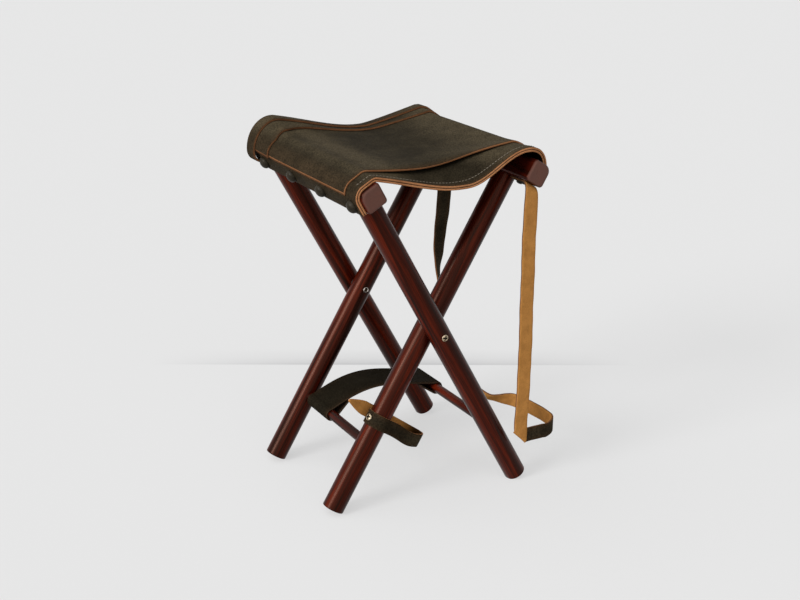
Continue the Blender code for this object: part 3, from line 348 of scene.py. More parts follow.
def put_mesh(
    name, points, quads, tris=None, kinds=None, grain=None, sheet=None, wear_and_shade=None, pale=None, sharp=None
):
    """A mesh from whole arrays: points, four- and three-cornered faces, finishes and their maps."""
    points = np.asarray(points, np.float32).reshape(-1, 3)
    tris = np.zeros((0, 3), int) if tris is None else np.asarray(tris)
    quads = np.asarray(quads)
    corners = np.concatenate([quads.ravel(), tris.ravel()]).astype(np.int32)
    starts = np.concatenate([np.arange(len(quads)) * 4, len(quads) * 4 + np.arange(len(tris)) * 3])
    mesh = bpy.data.meshes.new(name)
    mesh.vertices.add(len(points))
    mesh.vertices.foreach_set("co", points.ravel())
    mesh.loops.add(len(corners))
    mesh.loops.foreach_set("vertex_index", corners)
    mesh.polygons.add(len(starts))
    mesh.polygons.foreach_set("loop_start", starts.astype(np.int32))
    if kinds is not None:
        mesh.polygons.foreach_set("material_index", np.asarray(kinds, np.int32))
    mesh.polygons.foreach_set("use_smooth", np.ones(len(starts), bool))
    mesh.update(calc_edges=True)
    if grain is not None:
        spots = mesh.attributes.new("grain", "FLOAT_VECTOR", "POINT")
        spots.data.foreach_set("vector", np.asarray(grain, np.float32).ravel())
    for label, values in (("wear_and_shade", wear_and_shade), ("pale", pale)):
        if values is not None:
            spots = mesh.attributes.new(label, "FLOAT", "POINT")
            spots.data.foreach_set("value", np.asarray(values, np.float32).ravel())
    if sheet is not None:
        layer = mesh.uv_layers.new(name="sheet")
        flat = np.asarray(sheet, np.float32).reshape(-1, 2)
        layer.data.foreach_set("uv", flat[corners].ravel())
    if sharp is not None:
        mesh.set_sharp_from_angle(angle=math.radians(sharp))
    return mesh


def piece(name, mesh, materials, nodes, body=None):
    """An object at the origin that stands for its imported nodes, with its finishes."""
    item = bpy.data.objects.new(name, mesh)
    bpy.context.scene.collection.objects.link(item)
    for made in materials:
        mesh.materials.append(made)
    if body is not None:
        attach(item, body)
    if nodes:
        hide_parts(*nodes)
    return item


def grid(rows, columns, ring=False, close=False):
    """Faces of a grid, whose rows may close into rings and whose last row may join the first."""
    row = np.arange(rows if close else rows - 1)[:, None]
    column = np.arange(columns if ring else columns - 1)[None, :]
    right = (column + 1) % columns
    below = (row + 1) % rows
    near, far = row * columns, below * columns
    corners = [near + column, near + right, far + right, far + column]
    return np.stack(np.broadcast_arrays(*corners), axis=-1).reshape(-1, 4)


def capped(points, columns, first=None, last=None):
    """Rings of points, closed by a fan to a middle point at the first ring, the last one or both."""
    m = np.arange(columns)
    after = (m + 1) % columns
    end = len(points) - columns
    tris = []
    for middle, near, far in ((first, m, after), (last, end + after, end + m)):
        if middle is not None:
            tris.append(np.stack([np.full(columns, len(points)), near, far], axis=1))
            points = np.concatenate([points, [middle]])
    return points, np.concatenate(tris) if tris else None


def turned(profile, steps, close=False):
    """A turned surface: a profile of (radius, height), top to bottom, carried round an axis.

    Point (k, a) is (r_k cos a, r_k sin a, h_k). A profile that starts or ends on the axis is
    closed there by a fan, and a closed profile makes a ring. Steps may be a count or the angles.
    """
    profile = np.asarray(profile, float)
    a = np.linspace(0.0, 2 * math.pi, steps, endpoint=False) if np.isscalar(steps) else np.asarray(steps)
    steps = len(a)
    top = not close and profile[0, 0] == 0.0
    bottom = not close and profile[-1, 0] == 0.0
    body = profile[int(top) : len(profile) - int(bottom)]
    rings = np.stack(
        np.broadcast_arrays(body[:, :1] * np.cos(a), body[:, :1] * np.sin(a), body[:, 1:2]), axis=-1
    )
    first = (0.0, 0.0, profile[0, 1]) if top else None
    last = (0.0, 0.0, profile[-1, 1]) if bottom else None
    points, tris = capped(rings.reshape(-1, 3), steps, first, last)
    return points, grid(len(body), steps, ring=True, close=close)[:, ::-1], tris


def stand(points, origin, axis, side):
    """Points about their own Z set on an axis at an origin, with their X toward a side direction."""
    axis = unit(axis)
    side = unit(np.asarray(side) - axis * (np.asarray(side) @ axis))
    other = np.cross(axis, side)
    return origin + points[:, :1] * side + points[:, 1:2] * other + points[:, 2:3] * axis


def turned_piece(node, suffix, shape, place, look, body, wear_and_shade=None, sharp=40):
    """A turned shape (points, quads, tris) stood at a place (origin, axis, side) for its node."""
    points, quads, tris = shape
    mesh = put_mesh(node, stand(points, *place), quads, tris, wear_and_shade=wear_and_shade, sharp=sharp)
    piece(f"{node}_{suffix}", mesh, [finish(look)], [node], body)


def tight(start, stop, count, margin):
    """Stations from start to stop with one close to each end, for a broken edge."""
    middle = np.linspace(start + margin, stop - margin, count)
    return np.concatenate([[start], middle, [stop]])


def leather_shell(name, middle, thickness, across, lengthwise, wear_and_shade=None, pale=None, slope=0.0):
    """A leather sheet: a middle surface thickened both ways, with its cut edge slightly broken.

    Point (j, i) of each face lies at middle + n h and middle - n h, where n is the unit cross
    product of the surface's two slopes and h is half the thickness, less at the outermost ring.
    Faces are numbered 0 on the n side, 1 on the other and 2 on the cut edge. A slope draws the n
    side's first and last columns in, as a share of the step to the next column.
    """
    rows, columns = middle.shape[:2]
    across = np.broadcast_to(across, (rows, columns))
    lengthwise = np.broadcast_to(lengthwise, (rows, columns))
    normal = unit(np.cross(np.gradient(middle, axis=1), np.gradient(middle, axis=0)))
    half = np.full((rows, columns, 1), thickness / 2)
    half[[0, -1]] *= EDGE_SHARE
    half[:, [0, -1]] *= EDGE_SHARE
    upper, lower = middle + normal * half, middle - normal * half
    upper[:, 0] += slope * (upper[:, 1] - upper[:, 0])
    upper[:, -1] += slope * (upper[:, -2] - upper[:, -1])
    points = np.concatenate([upper.reshape(-1, 3), lower.reshape(-1, 3)])
    face = grid(rows, columns)
    count = rows * columns
    index = np.arange(count).reshape(rows, columns)
    loop = np.concatenate([index[0, :-1], index[:-1, -1], index[-1, :0:-1], index[:0:-1, 0]])
    after = np.roll(loop, -1)
    rim = np.stack([loop, loop + count, after + count, after], axis=1)
    quads = np.concatenate([face, face[:, ::-1] + count, rim])
    kinds = np.repeat([0, 1, 2], [len(face), len(face), len(rim)])

    def inside(values, axis):
        return np.minimum(values - values.min(axis, keepdims=True), values.max(axis, keepdims=True) - values)

    def both(values):
        return np.concatenate([values, values])

    rubbed = np.exp(-np.minimum(inside(across, 1), inside(lengthwise, 0)) / RUB_REACH)
    rubbed = rubbed if wear_and_shade is None else np.maximum(rubbed, wear_and_shade)
    pale = np.broadcast_to(0.0 if pale is None else pale, (rows, columns))
    sheet = np.stack([across, lengthwise], axis=-1).reshape(-1, 2)
    rubbed, pale = both(rubbed.ravel()), both(pale.ravel())
    return put_mesh(name, points, quads, kinds=kinds, sheet=both(sheet), wear_and_shade=rubbed, pale=pale)


class Shader:
    """The nodes of a material or of the world, with short calls to add and join them."""

    def __init__(self, name, world=False):
        self.made = (bpy.data.worlds if world else bpy.data.materials).new(name)
        self.made.use_nodes = True
        self.tree = self.made.node_tree
        self.surface = self.tree.nodes["Background" if world else "Principled BSDF"]

    def add(self, kind, settings=None, **sockets):
        item = self.tree.nodes.new("ShaderNode" + kind)
        for key, value in (settings or {}).items():
            setattr(item, key, value)
        for key, value in sockets.items():
            self.join(value, item, key.replace("_", " "))
        return item

    def join(self, value, item, socket):
        if isinstance(value, tuple) and len(value) == 2 and hasattr(value[0], "outputs"):
            self.tree.links.new(value[0].outputs[value[1]], item.inputs[socket])
        else:
            item.inputs[socket].default_value = value

    def ramp(self, source, stops):
        item = self.add("ValToRGB", Fac=source)
        band = item.color_ramp
        for k, (at, value) in enumerate(stops):
            stop = band.elements[k] if k < 2 else band.elements.new(at)
            stop.position = at
            stop.color = (*value, 1.0)
        return item, "Color"

    def mixed(self, share, first, second, blend="MIX"):
        item = self.add("Mix", {"data_type": "RGBA", "blend_type": blend})
        self.join(share, item, 0)
        for value, socket in ((first, 6), (second, 7)):
            self.join(value if hasattr(value[0], "outputs") else (*value, 1.0), item, socket)
        return item, 2

    def spread(self, source, low, high, start=0.0, stop=1.0):
        item = self.add("MapRange", Value=source, From_Min=start, From_Max=stop, To_Min=low, To_Max=high)
        return item, "Result"

    def calc(self, operation, *values):
        item = self.add("Math", {"operation": operation})
        for k, value in enumerate(values):
            self.join(value, item, k)
        return item, "Value"

    def sums(self, first, second, share):
        return self.calc("MULTIPLY_ADD", second, share, first)

    def spot(self):
        return self.add("TexCoord"), "Object"

    def sheet(self):
        return self.add("UVMap", {"uv_map": "sheet"}), "UV"

    def attribute(self, name, output="Fac"):
        return self.add("Attribute", {"attribute_name": name}), output

    def shown(self):
        path = self.add("LightPath")
        either = (path, "Is Camera Ray")
        for other in ("Is Glossy Ray", "Is Transmission Ray"):
            either = self.calc("MAXIMUM", either, (path, other))
        return either

    def noise(self, vector, scale, detail=3.0, rough=0.55, bend=0.0):
        item = self.add(
            "TexNoise", Vector=vector, Scale=scale, Detail=detail, Roughness=rough, Distortion=bend
        )
        return item, "Fac"

    def stretched(self, vector, scale):
        return self.add("Mapping", Vector=vector, Scale=scale), "Vector"

    def bump(self, height, strength, distance):
        item = self.add("Bump", Height=height, Strength=strength, Distance=distance)
        self.join((item, "Normal"), self.surface, "Normal")

    def set(self, **values):
        for key, value in values.items():
            self.join(value, self.surface, key.replace("_", " "))


def toned(tone, share):
    """A colour times a share."""
    return tuple(share * v for v in tone)


def stained_wood(sh, c):
    """Dark red-brown stain under satin varnish, with streaks and pores along the grain."""
    spot = sh.attribute("grain", "Vector")
    streak = sh.noise(sh.stretched(spot, (125.0, 125.0, 4.0)), 1.0, 5.0, 0.6, 0.7)
    pores = sh.noise(sh.stretched(spot, (1250.0, 1250.0, 26.0)), 1.0, 2.0, 0.5)
    body = sh.ramp(streak, ((0.38, c.wood_dark), (0.51, c.wood), (0.63, c.wood_red)))
    body = sh.mixed(sh.spread(pores, 0.0, 0.75, 0.56, 0.68), body, c.wood_dark)
    sh.set(Base_Color=sh.mixed(sh.attribute("pale"), body, c.wood_end))
    sh.set(Roughness=sh.spread(pores, 0.26, 0.35, 0.35, 0.65))
    sh.set(Specular_IOR_Level=0.15, Specular_Tint=(1.0, 0.55, 0.40, 1.0))
    sh.bump(sh.sums(streak, pores, 0.5), 0.025, 0.0003)


def grain_leather(sh, c, share=1.0):
    """Oiled grain side: fine pebbles, mottled olive-brown, with a painted sheen that makes it paler over the
    rails, brown along edges.
    """
    flat = sh.sheet()
    patches = sh.noise(flat, 24.0, 6.0, 0.66, 0.4)
    fine = sh.noise(flat, 640.0, 3.0, 0.7)
    cells = sh.add("TexVoronoi", {"feature": "SMOOTH_F1"}, Vector=flat, Scale=560.0, Smoothness=0.3)
    pebble = (cells, "Distance")
    tones = ((0.30, c.grain_dark), (0.52, c.grain), (0.74, c.grain_lit))
    body = sh.ramp(patches, [(at, toned(tone, share)) for at, tone in tones])
    # The first mark paints a sheen in the paler tone; the second is real rubbing toward brown.
    for mark, least, tone in (("pale", 0.45, c.handled), ("wear_and_shade", 0.35, c.rubbed)):
        much = sh.calc("MULTIPLY", sh.attribute(mark), sh.spread(patches, least, 1.0, 0.30, 0.62))
        body = sh.mixed(much, body, toned(tone, share))
    body = sh.mixed(sh.spread(pebble, 0.0, 0.55, 0.25, 0.75), body, toned(c.grain_dark, 0.4))
    sh.set(Base_Color=sh.mixed(sh.spread(fine, 0.0, 0.5, 0.50, 0.75), body, c.grain_lit))
    sh.set(Roughness=sh.spread(fine, 0.56, 0.72, 0.3, 0.7), Specular_IOR_Level=0.010)
    sh.bump(sh.sums(pebble, fine, 0.5), 0.45, 0.0006)


def flesh_leather(sh, light, dark):
    """Napped inner side: a golden ground, or a dark one that paints shade on faces turned down, with specks
    and short fibres.
    """
    flat = sh.sheet()
    cloud = sh.noise(flat, 75.0, 6.0, 0.68, 0.3)
    fibre = sh.noise(sh.stretched(flat, (900.0, 420.0, 1.0)), 1.0, 4.0, 0.7, 1.2)
    body = sh.ramp(cloud, ((0.25, tuple(0.55 * a + 0.45 * b for a, b in zip(dark, light))), (0.62, light)))
    body = sh.mixed(sh.spread(fibre, 0.0, 0.75, 0.54, 0.72), body, dark)
    # This mark darkens the flesh side: painted shade inside the closing strap's turn, and its darker tail.
    sh.set(Base_Color=sh.mixed(sh.attribute("pale"), body, toned(dark, 0.12)))
    sh.set(Roughness=0.9, Specular_IOR_Level=0.010)
    sh.bump(fibre, 0.35, 0.0005)


def raw_edge(sh, light, dark):
    """Cut edge of the leather: tan or brown, with darker fibres scattered through it."""
    spot = sh.spot()
    fibre = sh.noise(spot, 900.0, 4.0, 0.7)
    cloud = sh.noise(spot, 60.0, 4.0, 0.6)
    body = sh.ramp(cloud, ((0.28, tuple(0.5 * (a + b) for a, b in zip(light, dark))), (0.55, light)))
    sh.set(Base_Color=sh.mixed(sh.spread(fibre, 0.0, 0.85, 0.52, 0.72), body, dark))
    sh.set(Roughness=0.74, Specular_IOR_Level=0.015)
    sh.bump(fibre, 0.4, 0.0004)


def plated_metal(sh, tone):
    """Pale or tarnished plating with fine scratches, with painted shade darkening its recesses."""
    spot = sh.spot()
    cloud = sh.noise(spot, 420.0, 4.0, 0.6)
    scratch = sh.noise(sh.stretched(spot, (900.0, 5200.0, 5200.0)), 1.0, 2.0, 0.5)
    body = sh.ramp(cloud, ((0.28, toned(tone, 0.6)), (0.55, tone)))
    sh.set(Base_Color=sh.mixed(sh.attribute("wear_and_shade"), body, toned(tone, 0.04)))
    sh.set(Metallic=1.0, Roughness=sh.spread(scratch, 0.30, 0.46, 0.3, 0.7))
    sh.bump(scratch, 0.08, 0.0002)


def blackened_metal(sh, c):
    """Blackened nail heads, rubbed a little brighter in patches."""
    spot = sh.spot()
    cloud = sh.noise(spot, 330.0, 5.0, 0.65)
    sh.set(Base_Color=sh.ramp(cloud, ((0.40, c.nail), (0.78, toned(c.nail, 2.2)))))
    sh.set(Metallic=0.15, Specular_IOR_Level=0.10, Roughness=sh.spread(cloud, 0.36, 0.52, 0.3, 0.7))
    sh.bump(sh.noise(spot, 1900.0, 2.0, 0.5), 0.15, 0.0002)


def sewing_thread(sh, c):
    """Waxed thread with its twist."""
    twist = sh.noise(sh.spot(), 2600.0, 2.0, 0.5)
    sh.set(Base_Color=sh.ramp(twist, ((0.35, toned(c.thread, 0.45)), (0.62, c.thread))), Roughness=0.6)
    sh.bump(twist, 0.3, 0.0002)


def fibre_board(sh, c):
    """Dark fibre of the spacing washers."""
    fleck = sh.noise(sh.spot(), 1400.0, 4.0, 0.7)
    sh.set(Base_Color=sh.ramp(fleck, ((0.35, c.washer), (0.70, toned(c.washer, 1.8)))))
    sh.set(Roughness=sh.spread(fleck, 0.55, 0.75, 0.3, 0.7))
    sh.bump(fleck, 0.2, 0.0002)


FINISHES = {
    "wood": stained_wood,
    "grain": grain_leather,
    "strap_grain": lambda sh, c: grain_leather(sh, c, 0.85),
    "dark_grain": lambda sh, c: grain_leather(sh, c, 0.42),
    # Painted light: a paler copy of the grain side for the carry strap, which hangs in the seat's shade.
    "lit_carry_grain": lambda sh, c: grain_leather(sh, c, 1.5),
    "flesh": lambda sh, c: flesh_leather(sh, c.flesh, c.flesh_dark),
    # Painted shade: the dark flesh finish of faces turned down.
    "under": lambda sh, c: flesh_leather(sh, c.under, toned(c.under, 0.5)),
    "edge": lambda sh, c: raw_edge(sh, c.edge, c.edge_dark),
    "panel_edge": lambda sh, c: raw_edge(sh, toned(c.edge, 0.65), c.edge_dark),
    "worn_edge": lambda sh, c: raw_edge(sh, c.worn_edge, toned(c.worn_edge, 0.4)),
    "waxed_edge": lambda sh, c: raw_edge(sh, c.waxed_edge, toned(c.waxed_edge, 0.4)),
    "plated": lambda sh, c: plated_metal(sh, c.plated),
    "tarnished": lambda sh, c: plated_metal(sh, c.tarnished),
    "nail": blackened_metal,
    "thread": sewing_thread,
    "washer": fibre_board,
}


def finish(key):
    """A finish by its short name, made once."""
    name = "stool_" + key
    if name not in bpy.data.materials:
        FINISHES[key](Shader(name), bpy.context.scene.stool_colours)
    return bpy.data.materials[name]


class RailWrap:
    """The underside of the leather over one rail, as a line from the flap's foot to the crown.

    The close line lies on the rail: a straight flap, an arc about the outer upper edge, a straight
    top and an arc about the inner upper edge. The loose line leaves the first arc where it stands
    upright and follows a quarter of an ellipse to a level crest. k runs from 0 to 1 along both.
    """

    def __init__(self, f, s, side):
        left = side == "left"
        sign = -1.0 if left else 1.0
        turn = turn_of(f, "outer" if left else "inner")
        across, along = frame_axes(turn)
        out = sign * across
        centre = rail_centre(f, turn)
        half = f.rail_side / 2
        wide = half - f.rail_wrap_round
        round_out = f.rail_wrap_round + f.gap
        level = math.pi if left else 0.0
        outer = level + sign * math.asin(out[2])
        upper = math.atan2(along[2], along[0])
        leave = math.radians(76.0 if left else 95.0)
        rest, shift, lift = 0.0, 0.0, s.left_rear_lift
        if not left:
            rest, shift, lift = s.right_lift, -s.right_crest, s.right_front_lift
        self.back = 0.0 if left else s.right_back
        count = 60
        share = np.linspace(0.0, 1.0, count)[:, None]
        low = centre + out * (half + f.gap) - along * s.flap
        high = centre + out * (half + f.gap) + along * wide
        first = centre + (out + along) * wide
        second = centre + (along - out) * (half - f.rail_round)

        def arc(middle, radius, start, stop):
            a = start + (stop - start) * share
            return middle + radius * np.concatenate([np.cos(a), 0 * a, np.sin(a)], axis=1)

        flap = low + (high - low) * share
        close = np.concatenate([
            arc(first, round_out, outer, upper), arc(second, f.rail_round + f.gap, upper, leave)
        ])
        crest = close[-1] + np.array([shift, 0.0, lift])
        lower = arc(first, round_out, outer, level)
        a = math.pi / 2 * share
        reach_x = crest[0] + (lower[-1, 0] - crest[0]) * np.cos(a)
        reach_z = lower[-1, 2] + (crest[2] - lower[-1, 2]) * np.sin(a)
        loose = np.concatenate([lower, np.concatenate([reach_x, 0 * a, reach_z], axis=1)])
        self.flap = float(np.linalg.norm(high - low))
        self.corner = round_out * math.pi / 2
        self.run = self.flap + run_of(close)[-1]
        self.foot = float(low[0])
        self.top = float(close[-1, 2])
        part = self.flap / self.run
        at = np.linspace(0.0, 1.0, 161)[1:]
        self.k = np.concatenate([np.linspace(0.0, part, count), part + (1 - part) * at])

        def even(line):
            return np.concatenate([flap, resampled(line, run_of(line) / run_of(line)[-1], at)])

        self.close = even(close)
        self.close[count:, 2] += rest * smooth(at)
        self.loose = even(loose)
        bare = run_of(lower)[-1] / run_of(loose)[-1]
        self.back_share = np.concatenate([np.ones(count), 1.0 - smooth((at - bare) / (1.0 - bare))])

    def at(self, k, free):
        """Places x and z on the line at k, between the close line and the loose one."""
        x = np.interp(k, self.k, self.close[:, 0])
        z = np.interp(k, self.k, self.close[:, 2])
        x = x + (np.interp(k, self.k, self.loose[:, 0]) - x) * free
        return x, z + (np.interp(k, self.k, self.loose[:, 2]) - z) * free

    def set_back(self, k, free):
        """How far the leather is drawn back along the rail."""
        return self.back * free * np.interp(k, self.k, self.back_share)


class SeatForm:
    """The sling's underside as a surface of (u, y).

    u runs 0 to 1 over the left rail, 1 to 2 across the span and 2 to 3 over the right rail. The
    span hangs from its two crowns to a low point, deeper toward the front and rear edges.
    """

    def __init__(self, f, s):
        self.f, self.s = f, s
        self.left = RailWrap(f, s, "left")
        self.right = RailWrap(f, s, "right")
        self.width = self.right.foot - self.left.foot

    def free(self, y):
        """How far the leather is off the left rail, toward the rear, and the right rail, toward the front."""
        s = self.s
        return smooth(1.0 - (s.rear - y) / s.lift_run), smooth(1.0 - (y - s.front) / s.lift_run)

    def at(self, u, y, bridge=0.0):
        """Points of the surface for arrays of u and y; bridge raises the front half of the span."""
        s = self.s
        depth = s.rear - s.front
        front_lip = smooth(1.0 - (y - s.front) / s.lip)
        rear_lip = smooth(1.0 - (s.rear - y) / s.lip)
        to_rear, to_front = self.free(y)
        left_k, right_k = np.clip(u, 0.0, 1.0), np.clip(3.0 - u, 0.0, 1.0)
        left_x, left_z = self.left.at(left_k, to_rear)
        right_x, right_z = self.right.at(right_k, to_front)
        start_x, start_z = self.left.at(1.0, to_rear)
        stop_x, stop_z = self.right.at(1.0, to_front)
        plain = s.mid_low + (s.rear_low - s.mid_low) * smooth((y - s.front) / depth)
        low_x = PIVOT[0] + plain + (s.front_low - plain) * front_lip
        crown = min(self.left.top, self.right.top)
        low_z = crown - s.mid_sag - (s.front_sag - s.mid_sag) * front_lip
        low_z = low_z - (s.rear_sag - s.mid_sag) * rear_lip
        part = np.clip(u - 1.0, 0.0, 1.0)
        x = start_x + (stop_x - start_x) * part
        p = np.clip((low_x - x) / (low_x - start_x), 0.0, 1.0)
        q = np.clip((x - low_x) / (stop_x - low_x), 0.0, 1.0)
        soft = 0.10
        p = np.sqrt(p * p + (soft * (1 - p)) ** 2) - soft * (1 - p)
        q = np.sqrt(q * q + (soft * (1 - q)) ** 2) - soft * (1 - q)
        bend = q**1.1 + (smooth(q) - q**1.1) * to_front
        falling = low_z + (start_z - low_z) * (0.7 * p**1.3 + 0.3 * smooth(p))
        rising = low_z + (stop_z - low_z) * bend
        z = np.where(x < low_x, falling, rising)
        over = bridge * smooth(1.0 - 2.0 * (y - s.front) / depth)
        z = z + over * np.sin(math.pi * part) ** 1.5
        x = np.where(u < 1.0, left_x, np.where(u > 2.0, right_x, x))
        z = np.where(u < 1.0, left_z, np.where(u > 2.0, right_z, z))
        return np.stack([x, y + self.back(u, y) + 0 * x, z], axis=-1)

    def back(self, u, y):
        """How far a place is drawn back along the rails, near the right flap's front."""
        return np.where(u > 2.0, self.right.set_back(np.clip(3.0 - u, 0.0, 1.0), self.free(y)[1]), 0.0)

    def before(self, u, y):
        """The y to ask for so that a place ends up at y once it is drawn back."""
        asked = y
        for _ in range(12):
            asked = y - self.back(u, asked)
        return asked

    def raised(self, u, y, height, bridge=0.0):
        """The surface moved out along its cross section's normal by a height."""
        step = 0.01
        slope = self.at(np.clip(u + step, 0, 3), y, bridge) - self.at(np.clip(u - step, 0, 3), y, bridge)
        slope[..., 1] = 0.0
        slope = unit(slope)
        up = np.stack([-slope[..., 2], 0 * slope[..., 0], slope[..., 0]], axis=-1)
        return self.at(u, y, bridge) + up * np.asarray(height)[..., None]

    def stations(self, start, stop, margin):
        """Values of u from start to stop, closer together over the rails."""
        count = 44
        u = np.concatenate([
            np.linspace(0.0, 1.0, count, endpoint=False),
            np.linspace(1.0, 2.0, 90, endpoint=False),
            np.linspace(2.0, 3.0, count + 1),
        ])
        inside = u[(u > start + 1.5 * margin) & (u < stop - 1.5 * margin)]
        return np.concatenate([[start, start + margin], inside, [stop - margin, stop]])

    def share(self, u, y):
        """How far across the seat a place lies, from 0 at the left flap to 1 at the right one."""
        return np.clip((self.at(u, y)[..., 0] - self.left.foot) / self.width, 0.0, 1.0)


def seat_layer(form, name, level, front_edge, rear, start, stop, bridge):
    """One layer of the seat between a front edge, given as a function of u, and a rear y.

    Row v lies at the front edge plus v times the way to the rear, raised off the form by the
    layer's level in steps of one thickness and half a thickness more.
    """
    s = form.s
    step = s.leather + form.f.gap
    u = form.stations(start, stop, s.leather / form.left.run)
    v = tight(0.0, 1.0, 84, 0.003)
    edge = front_edge(u)
    y = edge[None, :] + (rear - edge)[None, :] * v[:, None]
    wide = np.broadcast_to(u[None, :], y.shape)
    height = level(wide) * step + s.leather / 2
    middle = form.raised(wide, y, height, bridge)
    steps = np.linalg.norm(np.diff(middle, axis=1), axis=2)
    across = np.concatenate([np.zeros((len(v), 1)), np.cumsum(steps, axis=1)], axis=1)
    # Painted sheen: paler the higher the leather rises above the low valley, and in a band near the left
    # rail.
    crown = blend_start(form)[2]
    low, high = crown - s.mid_sag, crown + 0.4 * s.mid_sag
    height_sheen = smooth((middle[..., 2] - height - low) / (high - low)) * smooth((wide - 0.25) / 0.5)
    strength, place, spread = SHEEN_BAND
    pale = np.maximum(height_sheen, strength * np.exp(-(((form.share(wide, y) - place) / spread) ** 2)))
    strength, spread = CROWN_RUB
    rub = strength * sum(np.exp(-(((wide - middle_u) / spread) ** 2)) for middle_u in (0.50, 2.50))
    mesh = leather_shell(name, middle, s.leather, across, y, rub, pale, SKIVE if bridge else 0.0)
    area = float((steps * np.gradient(y, axis=0)[:, :-1]).sum())
    # The sling's underside gets the dark flesh finish, painted shade.
    looks = [finish("grain"), finish("under"), finish(SEAT_EDGES[name])]
    item = piece(name + "_leather", mesh, looks, [name])
    flat = (float(across[:, -1].max()), float(np.ptp(y, axis=0).max()))
    blend_start(form)
    blend_stop(form)
    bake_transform(item)
    area = min(area, flat[0] * flat[1])


def blend_start(form):
    """Where the seat stops following the left rail."""
    return tuple(float(v) for v in form.at(np.array(1.0), np.array(0.0)))


def blend_stop(form):
    """Where the seat begins to follow the right rail."""
    stop = form.at(np.array(2.0), np.array(0.0))
    return float(stop[0]), 0.0, blend_start(form)[2]


def through_points(points, count):
    """A smooth curve through points (Catmull-Rom), sampled evenly by length.

    Between points b and c, with neighbours a and d, it is
    b + ((c - a) t + (2a - 5b + 4c - d) t squared + (3b - a - 3c + d) t cubed) / 2.
    """
    points = np.asarray(points, float)
    ends = np.concatenate([[2 * points[0] - points[1]], points, [2 * points[-1] - points[-2]]])
    a, b, c, d = (ends[k : k + len(points) - 1][:, None, :] for k in range(4))
    t = np.linspace(0.0, 1.0, 40, endpoint=False)[None, :, None]
    fine = b + 0.5 * ((c - a) * t + (2 * a - 5 * b + 4 * c - d) * t**2 + (3 * b - a - 3 * c + d) * t**3)
    fine = np.concatenate([fine.reshape(-1, points.shape[1]), points[-1:]])
    run = run_of(fine[:, :3])
    at = np.linspace(0.0, run[-1], count + 1)
    return resampled(fine, run, at)


